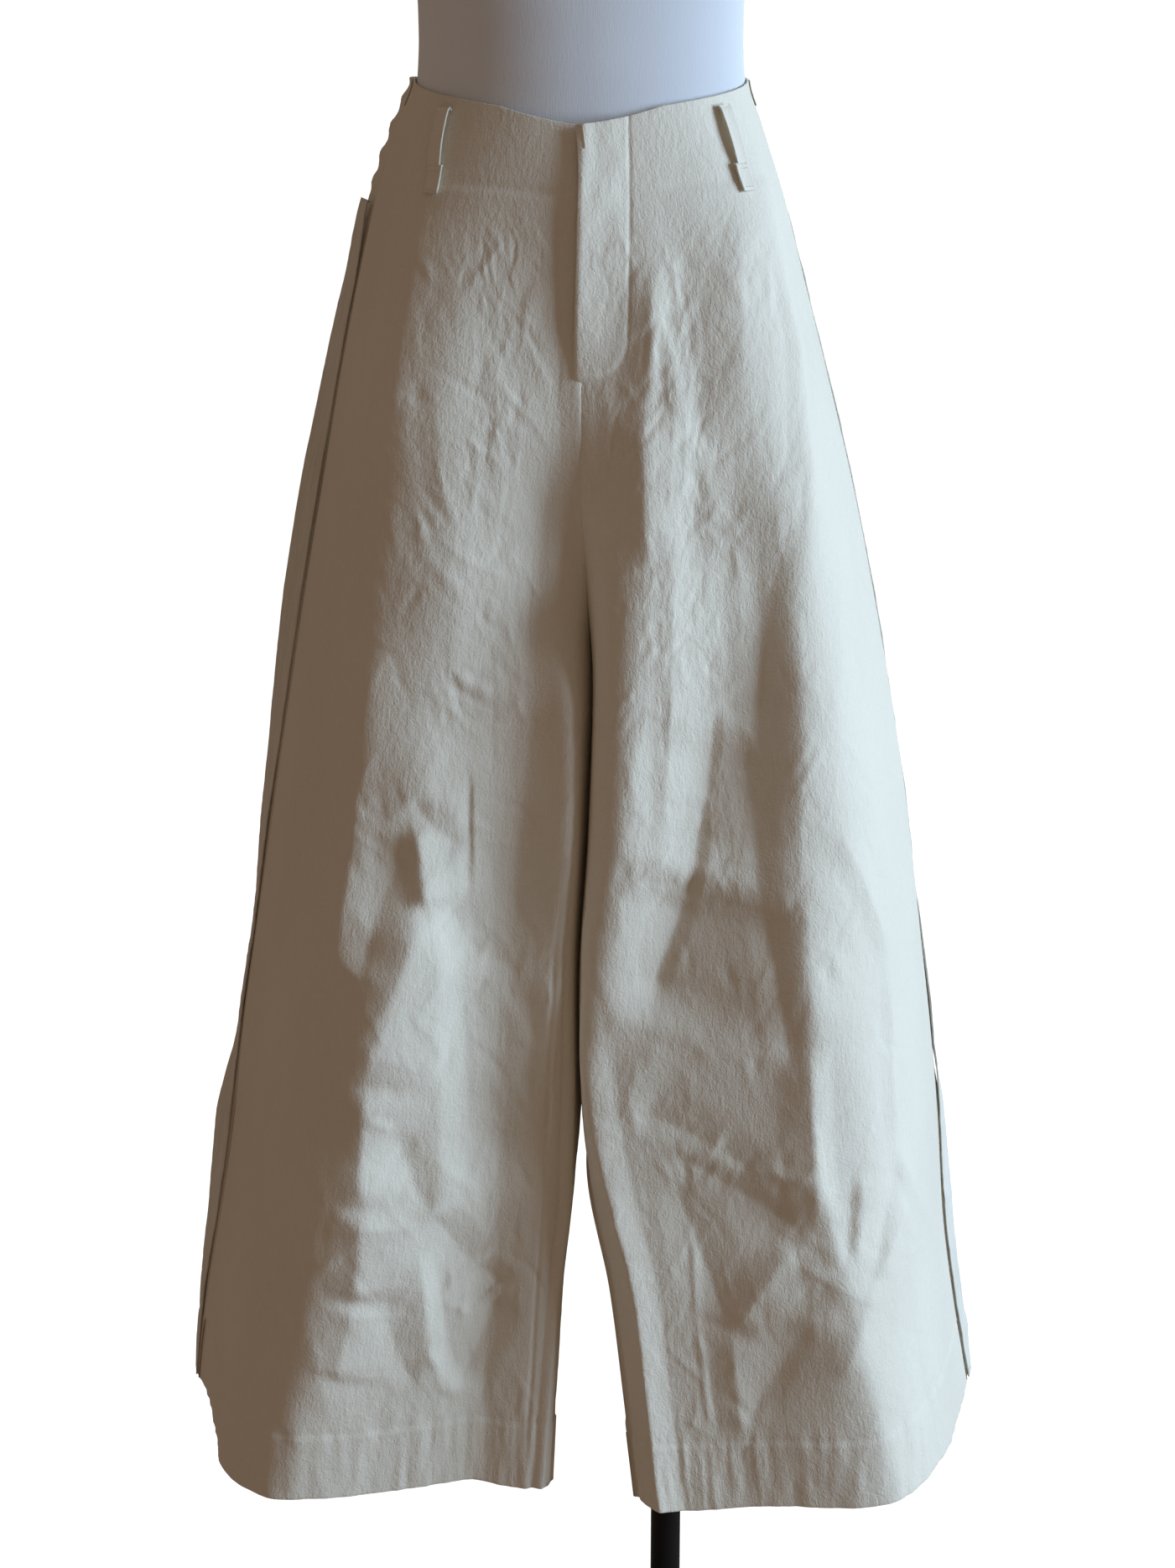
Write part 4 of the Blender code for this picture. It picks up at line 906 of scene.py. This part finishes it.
def stitches(name, paths, look, length=0.0028, gap=0.0010, radius=0.00018):
    """Rows of raised thread along paths, each a list of (point, normal)."""
    ring = np.linspace(0, 2 * math.pi, 7)[:-1]
    stations = ((0.0, 0.25, -0.8), (0.12, 0.8, -0.2), (0.5, 1.0, 0.25), (0.88, 0.8, -0.2),
                (1.0, 0.25, -0.8))
    pieces = []
    for path in paths:
        spots = np.array([p for p, _ in path])
        normals = np.array([n for _, n in path])
        total = path_lengths(spots)
        for k in range(int(total[-1] / (length + gap))):
            start = (k + 0.15) * (length + gap)
            rows = []
            ends = [np.array([np.interp(start + s * length, total, spots[:, i]) for i in range(3)])
                    for s in (0, 1)]
            normal = unit(np.array([np.interp(start, total, normals[:, i]) for i in range(3)]))
            side = unit(np.cross(ends[1] - ends[0], normal))
            for share, size, rise in stations:
                middle = ends[0] * (1 - share) + ends[1] * share + normal * radius * rise
                rows.append(middle + radius * size * (np.cos(ring)[:, None] * side
                                                      + np.sin(ring)[:, None] * normal))
            pieces.append(np.array(rows))
    return many_tubes(name, np.array(pieces), look)


def many_tubes(name, tubes, look):
    """One mesh from an array of tubes [tube, ring, corner, 3], each capped at both ends."""
    count, rings, corners = tubes.shape[:3]
    base = (np.arange(count) * rings * corners)[:, None, None]
    i = np.arange(rings - 1)[None, :, None] * corners
    j = np.arange(corners)[None, None, :]
    k = (j + 1) % corners
    quads = np.stack((base + i + j, base + i + k, base + i + corners + k, base + i + corners + j),
                     axis=-1).reshape(-1, 4)
    faces = [tuple(int(v) for v in q) for q in quads]
    for t in range(count):
        first = t * rings * corners
        faces.append(tuple(range(first + corners - 1, first - 1, -1)))
        faces.append(tuple(range(first + (rings - 1) * corners, first + rings * corners)))
    mesh = bpy.data.meshes.new(name)
    mesh.from_pydata([tuple(v) for v in tubes.reshape(-1, 3)], [], faces)
    return add_object(name, mesh, look)


# ---- materials ---------------------------------------------------------------------------------
class Look:
    """A Principled material and short ways to build its nodes."""

    def __init__(self, name, roughness, specular=0.3, metallic=0.0, uv=None):
        self.made = bpy.data.materials.new(name)
        self.made.use_nodes = True
        self.nodes, self.links = self.made.node_tree.nodes, self.made.node_tree.links
        self.shader = self.nodes["Principled BSDF"]
        self.shader.inputs["Roughness"].default_value = roughness
        self.shader.inputs["Specular IOR Level"].default_value = specular
        self.shader.inputs["Metallic"].default_value = metallic
        if uv:
            source = self.nodes.new("ShaderNodeUVMap")
            source.uv_map = uv
            self.where = source.outputs["UV"]
        else:
            self.where = self.nodes.new("ShaderNodeTexCoord").outputs["Object"]

    def noise(self, scale, detail=2.0, rough=0.5, distortion=0.0):
        mapping = self.nodes.new("ShaderNodeMapping")
        mapping.inputs["Scale"].default_value = scale
        self.links.new(self.where, mapping.inputs["Vector"])
        made = self.nodes.new("ShaderNodeTexNoise")
        made.inputs["Scale"].default_value = 1.0
        made.inputs["Detail"].default_value = detail
        made.inputs["Roughness"].default_value = rough
        made.inputs["Distortion"].default_value = distortion
        self.links.new(mapping.outputs["Vector"], made.inputs["Vector"])
        return made.outputs["Fac"]

    def spread(self, source, low, high):
        """Most of a noise lies between 0.3 and 0.7."""
        made = self.nodes.new("ShaderNodeMapRange")
        for socket, value in (("From Min", 0.3), ("From Max", 0.7), ("To Min", low),
                              ("To Max", high)):
            made.inputs[socket].default_value = value
        self.links.new(source, made.inputs["Value"])
        return made.outputs["Result"]

    def total(self, *sources):
        result = sources[0]
        for source in sources[1:]:
            made = self.nodes.new("ShaderNodeMath")
            self.links.new(result, made.inputs[0])
            self.links.new(source, made.inputs[1])
            result = made.outputs[0]
        return result

    def color(self, factor, low, high):
        made = self.nodes.new("ShaderNodeMix")
        made.data_type = "RGBA"
        made.inputs["A"].default_value = (*low, 1)
        made.inputs["B"].default_value = (*high, 1)
        self.links.new(factor, made.inputs["Factor"])
        self.links.new(made.outputs["Result"], self.shader.inputs["Base Color"])

    def bump(self, height, distance):
        made = self.nodes.new("ShaderNodeBump")
        made.inputs["Distance"].default_value = distance
        self.links.new(height, made.inputs["Height"])
        self.links.new(made.outputs["Normal"], self.shader.inputs["Normal"])

    def rough(self, source, low, high):
        self.links.new(self.spread(source, low, high), self.shader.inputs["Roughness"])


def canvas_look(name, light, dark, crinkle=1.0):
    """Plain-woven canvas: slubby warp and weft threads, fine creases, faint mottling."""
    look = Look(name, 0.92, 0.16, uv="cut")
    mottle = look.noise((11, 7, 1), 3)
    warp = look.noise((1300, 45, 1), 2)
    weft = look.noise((60, 1300, 1), 2)
    slub = look.noise((520, 110, 1), 2)
    grain = look.noise((700, 560, 1), 2)
    creasing = look.noise((210, 120, 1), 4, 0.60, 0.9)
    look.color(look.total(look.spread(mottle, 0.28, 0.62), look.spread(warp, -0.08, 0.12),
                          look.spread(weft, -0.08, 0.12), look.spread(slub, -0.08, 0.10)),
               dark, light)
    look.bump(look.total(look.spread(creasing, 0.0, 0.80 * crinkle), look.spread(slub, 0.0, 0.30),
                         look.spread(grain, 0.0, 0.42), look.spread(warp, 0.0, 0.06),
                         look.spread(weft, 0.0, 0.06)), 0.00030)
    look.shader.inputs["Sheen Weight"].default_value = 0.10
    look.shader.inputs["Sheen Roughness"].default_value = 0.5
    return look.made


def tape_look():
    """Twill tape, a little paler than the canvas, with lengthwise threads."""
    look = Look("side_tape_twill", 0.88, 0.2, uv="cut")
    lines = look.noise((2200, 12, 1), 2)
    patch = look.noise((40, 12, 1), 2)
    twill = look.noise((700, 900, 1), 1)
    look.color(look.total(look.spread(lines, 0.0, 0.7), look.spread(patch, -0.15, 0.35)),
               (0.74, 0.70, 0.60), (0.84, 0.81, 0.74))
    look.bump(look.total(look.spread(lines, 0.0, 0.9), look.spread(twill, 0.0, 0.3)), 0.00035)
    return look.made


def jersey_look():
    """The form's fine knit cover, faintly ribbed and pilled."""
    look = Look("form_jersey_knit", 0.72, 0.22)
    ribs = look.noise((1500, 1500, 120), 2)
    soft = look.noise((14, 14, 9), 3)
    pill = look.noise((420, 420, 420), 2)
    look.color(look.total(look.spread(soft, 0.2, 0.7), look.spread(ribs, -0.1, 0.15)),
               (0.800, 0.840, 0.890), (0.850, 0.880, 0.920))
    look.bump(look.total(look.spread(ribs, 0, 0.5), look.spread(pill, 0, 0.2)), 0.00010)
    look.shader.inputs["Sheen Weight"].default_value = 0.15
    look.shader.inputs["Diffuse Roughness"].default_value = 1.0
    return look.made


def black_look():
    """Powder-coated steel with faint wear."""
    look = Look("stand_black_coat", 0.45, 0.25)
    grain = look.noise((900, 900, 900), 2)
    wear = look.noise((30, 30, 12), 3)
    look.color(look.spread(wear, 0.0, 1.0), (0.003, 0.003, 0.0035), (0.006, 0.006, 0.007))
    look.rough(wear, 0.40, 0.55)
    look.bump(look.spread(grain, 0, 1), 0.00006)
    return look.made


def satin_look():
    """Brushed metal of the neck cap."""
    look = Look("cap_satin_metal", 0.34, 0.5, 1.0)
    brushed = look.noise((60, 60, 2400), 2)
    patch = look.noise((25, 25, 25), 2)
    look.color(look.spread(patch, 0.0, 1.0), (0.62, 0.63, 0.65), (0.72, 0.73, 0.75))
    look.rough(brushed, 0.26, 0.42)
    look.bump(look.spread(brushed, 0, 1), 0.00004)
    return look.made


canvas = canvas_look("cream_canvas_weave", (0.80, 0.755, 0.655), (0.70, 0.65, 0.545))
# the belt loops' canvas: the same cloth pressed flatter, with less crinkle, and painted a little
# lighter as painted light on the loops' proud bodies
canvas_loop_painted_lighter = canvas_look("cream_canvas_pressed_painted_lighter", (0.82, 0.775, 0.675), (0.73, 0.68, 0.575), 0.35)
thread = Look("cream_thread", 0.85, 0.2)
thread.color(thread.spread(thread.noise((1800, 1800, 1800), 1), 0, 1), (0.70, 0.65, 0.54),
             (0.82, 0.78, 0.68))
twill = tape_look()
jersey = jersey_look()
black = black_look()
satin = satin_look()


# ---- the trousers ------------------------------------------------------------------------------
SHIR_TOP = 0.004
SHIR_STEP = 0.020
SHIR_END = 0.088
FLY_TURN = 0.031         # height of the turn that ends the fly's J stitching
FLY_POWER = 2.4          # of the superellipse it turns on
EDGE_ROLL = 5
LOOP_SHIFT_LEFT = 0.030  # share of its panel by which the left front loop stands further out
TAB_SHIFT = 0.0016       # how far a loop's lower tab shows beside its body
TAB_LIFT = 0.0034        # how far the tab's top stands off the cloth
TAB_FALL = 0.0016        # and how much less its end does
BAR_LIFT = 0.0010        # the bar tacks, above the tab


def turned_rows(cloth, edge, normal, away, levels):
    """Rows that roll the waist or hem over and run back along the inside."""
    rows = []
    for angle in np.linspace(0, math.pi, EDGE_ROLL + 1)[1:]:
        rows.append(edge + away * PLY * math.sin(angle) - normal * PLY * (1 - math.cos(angle)))
    for level in levels:
        i = cloth.row_at(level)
        rows.append(cloth.skin[i] - cloth.skin_normals[i] * 2 * PLY)
    return np.array(rows)


def turned_columns(points, normals, away, under):
    """Columns that roll a long edge under; with `under`, they carry straight on beneath it."""
    edge, normal = points[:, -1] if away > 0 else points[:, 0], normals
    inside = points[:, -2] if away > 0 else points[:, 1]
    out = unit(edge - inside)
    columns = []
    if under:
        for reach, sink in ((0.001, 0.0006), (0.003, 0.0012), (0.4 * UNDERLAP, 0.0016),
                            (0.7 * UNDERLAP, 0.0018), (UNDERLAP, 0.0020)):
            columns.append(edge + out * reach - normal * sink)
    else:
        for angle in np.linspace(0, math.pi, EDGE_ROLL + 1)[1:-1]:
            columns.append(edge + out * PLY * math.sin(angle)
                           - normal * PLY * (1 - math.cos(angle)))
        columns.append(edge - out * 0.005 - normal * 2.2 * PLY)
    return columns


def finish_cloth(cloth, name, look, *nodes, under=False):
    cloth.name = name
    cloth.settle()
    skin, normals = cloth.skin, cloth.skin_normals
    up = np.array([0.0, 0.0, 1.0])
    waist = turned_rows(cloth, skin[0], normals[0], up, np.linspace(0.003, WAIST_TURN, 5))
    hem = turned_rows(cloth, skin[-1], normals[-1], -up,
                      SIDE_LENGTH - np.linspace(0.004, HEM_DEPTH - 0.002, 6))
    points = np.concatenate((waist[::-1], skin, hem))
    across = np.concatenate((np.repeat(cloth.across[:1], len(waist), 0), cloth.across,
                             np.repeat(cloth.across[-1:], len(hem), 0)))
    uv = np.stack((across + 2.0 * cloth.side + 5.0 * cloth.face, WAIST_Z - points[..., 2]), axis=-1)
    # pull both long edges back by one roll, then roll them under
    frames = cloth.find_normals(points)
    for column, inside in ((0, 1), (-1, -2)):
        back = unit(points[:, inside] - points[:, column])
        if not (under and column == -1):
            points[:, column] += back * PLY * 0.9
    first = turned_columns(points, frames[:, 0], -1, False)
    last = turned_columns(points, frames[:, -1], 1, under)
    points = np.concatenate((np.stack(first[::-1], 1), points, np.stack(last, 1)), axis=1)
    pad = ((0, 0), (len(first), len(last)), (0, 0))
    uv = np.pad(uv, pad, mode="edge")
    flip = (cloth.side * cloth.face) > 0
    piece = grid_mesh(name, points, look, uv, flip)
    return attach(piece, "cream_canvas", *nodes)


ROWS, FRONT_SPLIT, BACK_SPLIT = 450, 192, 176
front_right = Cloth(-1, -1, ROWS, FRONT_SPLIT)
front_left = Cloth(1, -1, ROWS, FRONT_SPLIT)
back_right = Cloth(-1, 1, ROWS, BACK_SPLIT)
back_left = Cloth(1, 1, ROWS, BACK_SPLIT)
for order, cloth in enumerate((front_right, front_left, back_right, back_left)):
    cloth.folds()
    cloth.swells()
    cloth.creases()
    cloth.scatter(seed=100 + order, count=420)
    cloth.crinkle(seed=10 + 20 * order)
    cloth.hem(seed=300 + 10 * order)
    cloth.seams()
front_right.facing_edge(height=0.0012, first=0.30, last=0.92)
front_left.facing_edge(height=0.0006, first=0.15, last=0.60)
back_right.gathers(seed=410)
back_left.gathers(seed=420)
front_left.fly_shape()
front_right.centre_ridge(height=0.0088, width=0.020)
front_left.centre_ridge(height=0.0072, width=0.024)
front_right.sunken_front(depth=0.0135, width=0.027, first=0.33, last=0.75)
front_left.rolled_inseam(cord=0.0022, groove=0.0008, strip=0.0074)

# one row for each panel's shell: its CAD nodes, and the width and flat area it was cut to
for cloth, nodes, cut_width, cut_area in (
        (front_right, ("front_right",), 0.44, 0.38),
        (front_left, ("front_left", "fly"), 0.44, 0.36),
        (back_right, ("back_right",), 0.52, 0.47),
        (back_left, ("back_left",), 0.52, 0.46)):
    panel = finish_cloth(cloth, nodes[0] + "_panel", canvas, *nodes, under=cloth is front_right)


def belt_loop(cloth, name, u, lean):
    """A folded loop: proud body, sewn down at its top, with a lower tab that shows its fold."""
    length = np.linalg.norm(cloth.at(0.03, u + 0.05)[0] - cloth.at(0.03, u - 0.05)[0]) * 10

    def path(stations):
        spots = []
        for level, lift, shift in stations:
            spots.append(cloth.at(level, u + (lean * (level - LOOP_TOP) / (LOOP_END - LOOP_TOP)
                                              + shift) / length, lift))
        levels = [level for level, _, _ in stations]
        lifts = np.array([lift for _, lift, _ in stations])[:, None]
        normals = np.array([n for _, n in spots])
        places = np.array(levels)[:, None]
        smooth = unit(np.polyval(np.polyfit(levels, normals, 1)[:, None], places))
        base = np.array([p for p, _ in spots]) - lifts * normals
        base = np.polyval(np.polyfit(levels, base, 2)[:, None], places)
        return base + lifts * smooth, smooth

    body = [(LOOP_TOP + 0.0012, 0.0006, 0), (LOOP_TOP - 0.0004, 0.0014, 0),
            (LOOP_TOP - 0.0006, 0.0030, 0), (LOOP_TOP + 0.0014, 0.0044, 0)]
    for t in np.linspace(0.1, 1.0, 14):
        body.append((LOOP_TOP + (LOOP_BREAK - LOOP_TOP) * t,
                     0.0046 + 0.0016 * math.sin(math.pi * t) - 0.0018 * t, 0.0))
    tab = [(LOOP_BREAK - 0.0020, 0.0022, TAB_SHIFT), (LOOP_BREAK - 0.0012, TAB_LIFT, TAB_SHIFT)]
    for t in np.linspace(0.0, 1.0, 8):
        tab.append((LOOP_BREAK + (LOOP_END - LOOP_BREAK) * t, TAB_LIFT - TAB_FALL * t, TAB_SHIFT))
    pieces = []
    for part, stations, width in (("body", body, LOOP_WIDTH - 0.0012), ("tab", tab, LOOP_WIDTH)):
        centres, normals = path(stations)
        # the loops use the canvas copy painted a little lighter, which is painted light
        pieces.append(strip(name + part, centres, normals, width, 0.0013, canvas_loop_painted_lighter, 0.0004))
    bars = []
    for level in (LOOP_BREAK + 0.003, LOOP_END - 0.003):
        shift = lean * (level - LOOP_TOP) / (LOOP_END - LOOP_TOP) + TAB_SHIFT
        lift = TAB_LIFT - TAB_FALL * (level - LOOP_BREAK) / (LOOP_END - LOOP_BREAK) + BAR_LIFT
        bars.append([cloth.at(level, u + (shift + w * LOOP_WIDTH) / length, lift)
                     for w in np.linspace(-0.38, 0.38, 12)])
    pieces.append(stitches(name + "thread", bars, thread.made, 0.0018, 0.0004, 0.0002))
    piece = join_pieces(name + "_cloth", pieces)
    attach(piece, "cream_canvas", name)


belt_loop(front_right, "belt_loop_front_right", LOOP_PLACE_FRONT, LOOP_LEAN)
belt_loop(front_left, "belt_loop_front_left", LOOP_PLACE_FRONT - LOOP_SHIFT_LEFT, 0.0)
belt_loop(back_right, "belt_loop_back_right", LOOP_PLACE_BACK, 0.0)
belt_loop(back_left, "belt_loop_back_left", LOOP_PLACE_BACK, 0.0)


TAPE_SHARES = (0.012, 0.052, 0.092)     # the tape's edge, middle and edge across its panel
TAPE_BACK_LEFT = 0.020                  # and how much further back the left tape lies above
TAPE_BACK_END = 0.70                    # this level


def side_tape(cloth, name, seed):
    """The tape over the side seam, on the back panel's facet, its square top end standing off."""
    draw = np.random.default_rng(seed)
    levels = np.concatenate(([TAPE_TOP + 0.0012], np.linspace(TAPE_TOP, SIDE_LENGTH - 0.001, 300)))
    centres, normals = [], []
    ripple = np.cumsum(draw.normal(0, 1, len(levels)))
    ripple -= np.convolve(ripple, np.ones(61) / 61, mode="same")
    for i, level in enumerate(levels):
        top = math.exp(-((level - TAPE_TOP) / 0.030) ** 2)
        lift = 0.0016 + (0.0040 if cloth.side < 0 else -0.0006) * top
        lift += 0.00012 * float(np.clip(ripple[i], -6, 6))
        if i == 0:
            lift -= 0.0016
        back = TAPE_BACK_LEFT * float(smooth_step((TAPE_BACK_END - level) / 0.10))
        if cloth.side < 0:
            back = 0.0
        a, (_, normal), b = (cloth.at(level, share + back) for share in TAPE_SHARES)
        a, b = a[0], b[0]
        flat = unit(np.cross(b - a, np.array([0.0, 0.0, -1.0]))) * (-cloth.side * -cloth.face)
        flat = flat if flat @ normal > 0 else -flat
        centres.append(0.5 * (a + b) + flat * lift)
        normals.append(flat)
    piece = strip(name + "_cloth", centres, normals, TAPE_WIDTH - 0.0016, 0.0011, twill, 0.0002)
    attach(piece, "side_tape", name)


side_tape(back_right, "side_tape_right", seed=5)
side_tape(back_left, "side_tape_left", seed=6)


STITCH_LIFT = -0.0001    # hem and fly stitching is let a little into the cloth


def seam_thread(name, cloth, u_first=0.012):
    """The hem's row of stitching on one panel."""
    path = [cloth.at(HEM_LINE, u, STITCH_LIFT) for u in np.linspace(u_first, 0.988, 260)]
    return stitches(name, [path], thread.made)


def sew(name, pieces):
    attach(join_pieces(name, pieces), "cream_canvas")


def fly_thread():
    spots = [(level, FLY_WIDTH) for level in np.linspace(0.004, FLY_LENGTH, 90)]
    for angle in np.linspace(0, math.pi / 2, 30)[1:]:
        spots.append((FLY_LENGTH + FLY_TURN * math.sin(angle) ** (2 / FLY_POWER),
                      max(0.001, FLY_WIDTH * math.cos(angle) ** (2 / FLY_POWER))))
    path = [front_left.at(level, front_left.u_from_inner(level, d), STITCH_LIFT)
            for level, d in spots]
    return stitches("fly_stitching", [path], thread.made, 0.0024, 0.0010, 0.00016)


sew("hem_stitching_right", [seam_thread("a", front_right), seam_thread("b", back_right, 0.10)])
sew("hem_stitching_left", [seam_thread("a", front_left), seam_thread("b", back_left, 0.10)])
sew("fly_stitching", [fly_thread()])


def shirring_thread(name, cloth):
    rows = []
    for k in range(5):
        level = SHIR_TOP + k * SHIR_STEP
        rows.append([cloth.at(level, u, 0.0002) for u in np.linspace(0.15, 0.995, 300)])
    return stitches(name, rows, thread.made, 0.0026, 0.0010, 0.00022)


sew("waist_shirring", [shirring_thread("a", back_right), shirring_thread("b", back_left)])


# ---- dress form and stand ----------------------------------------------------------------------
CLOSING = (0.97, 0.5, 0.02)     # scales of the rings that close the torso's ends


def form_surface():
    """The smooth torso: superellipse rings from the shared table, with a fine side seam."""
    rises = np.linspace(FORM[0][0], NECK_TOP, 200)
    angles = np.linspace(0, 2 * math.pi, 241)[:-1]
    across, deep = np.cos(angles), np.sin(angles)
    rows = []
    for rise in rises:
        power = FORM_AT(rise, "power")
        depth = np.where(deep < 0, FORM_AT(rise, "front"), FORM_AT(rise, "back"))
        width = FORM_AT(rise, "half_width")
        seam = 1 - 0.006 * bell(np.abs(np.abs(across) - 1), 0.00006)
        x = np.sign(across) * np.abs(across) ** (2 / power) * width * seam
        y = np.sign(deep) * np.abs(deep) ** (2 / power) * depth * seam
        rows.append(np.stack((x, y, np.full(x.shape, WAIST_Z + rise)), axis=-1))
    # both ends close inwards; the neck's end dips a little under its cap
    for ring, scale in zip(rows[:-4:-1], CLOSING):
        rows.append(ring * (scale, scale, 1.0))
    for scale in CLOSING:
        rows.insert(0, rows[0] * (scale, scale, 1.0))
    return np.array(rows)


def add_form():
    torso = grid_mesh("form_torso_jersey", form_surface(), jersey, closed=True)
    attach(torso, "form_jersey", "form_torso")


add_form()


def better(node, look):
    """A CAD node that stays gets the scene's material."""
    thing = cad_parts[node]
    if not thing.data.materials:
        thing.data.materials.append(look)
    for slot in thing.material_slots:
        slot.material = look


better("form_neck_cap", satin)
for node in ("form_pole", "pole_collar", "form_base"):
    better(node, black)

# ---- stage, light and camera -------------------------------------------------------------------
FLOOR_REACH = 14.0
FLOOR_BEND = 3.0         # radius of the curve between floor and backdrop
AIM = (0.0, 0.0, 0.85)   # what the lights point at


def stage():
    """A pale floor that curves up into a round backdrop, far from the object."""
    profile = [(0.001, 0.0), (3.0, 0.0), (8.0, 0.0), (FLOOR_REACH - FLOOR_BEND, 0.0)]
    for k in range(1, 9):
        angle = math.pi / 2 * k / 8
        profile.append((FLOOR_REACH - FLOOR_BEND + FLOOR_BEND * math.sin(angle),
                        FLOOR_BEND - FLOOR_BEND * math.cos(angle)))
    profile.append((FLOOR_REACH, 12.0))
    turns = np.linspace(0, 2 * math.pi, 97)[:-1]
    points = np.array([[(r * math.cos(a), r * math.sin(a), z) for a in turns] for r, z in profile])
    pale = Look("studio_pale", 0.95, 0.0)
    pale.shader.inputs["Base Color"].default_value = (0.35, 0.35, 0.35, 1)
    pale.shader.inputs["Emission Color"].default_value = (1, 1, 1, 1)
    pale.shader.inputs["Emission Strength"].default_value = 0.96
    floor = grid_mesh("studio_floor", points, pale.made, closed=True)
    floor.visible_diffuse = False
    floor.visible_glossy = False


def area_light(name, place, size, power, color):
    lamp = bpy.data.lights.new(name, "AREA")
    lamp.shape = "RECTANGLE"
    lamp.size, lamp.size_y = size
    lamp.energy = power
    lamp.color = color
    thing = bpy.data.objects.new(name, lamp)
    bpy.context.scene.collection.objects.link(thing)
    thing.location = place
    thing.rotation_euler = (Vector(AIM) - Vector(place)).to_track_quat("-Z", "Y").to_euler()


def light_direction(azimuth, rise, distance):
    """A place at that many degrees to the camera's right, seen from the object."""
    a, e = math.radians(azimuth), math.radians(rise)
    return (distance * math.sin(a) * math.cos(e), -distance * math.cos(a) * math.cos(e),
            AIM[2] + distance * math.sin(e))


stage()
area_light("window", light_direction(73, 12, 3.2), (1.4, 2.0), 137, (0.585, 0.785, 1.0))
area_light("back_fill", light_direction(172, 20, 3.6), (2.2, 2.0), 30, (0.86, 0.92, 1.0))
world = bpy.data.worlds.new("room")
bpy.context.scene.world = world
world.use_nodes = True
world.node_tree.nodes["Background"].inputs["Color"].default_value = (0.202, 0.150, 0.116, 1)
world.node_tree.nodes["Background"].inputs["Strength"].default_value = 1.0
bpy.context.scene.view_settings.view_transform = "Standard"

SENSOR_HEIGHT = 36       # millimetres, as the lens
CAMERA_FOCAL_PX = 3138   # the lens that sizes the object as the photo does,
FRAME_HEIGHT_PX = 1869   # for a frame this high
CAMERA_PLACE = (0.0047, -2.0, WAIST_Z)
CAMERA_TILT = 15         # degrees down
camera_data = bpy.data.cameras.new("camera")
camera_data.sensor_fit = "VERTICAL"
camera_data.sensor_height = SENSOR_HEIGHT
camera_data.lens = CAMERA_FOCAL_PX / FRAME_HEIGHT_PX * SENSOR_HEIGHT
camera = bpy.data.objects.new("camera", camera_data)
bpy.context.scene.collection.objects.link(camera)
camera.location = CAMERA_PLACE
camera.rotation_euler = (math.radians(90 - CAMERA_TILT), 0, 0)
bpy.context.scene.camera = camera
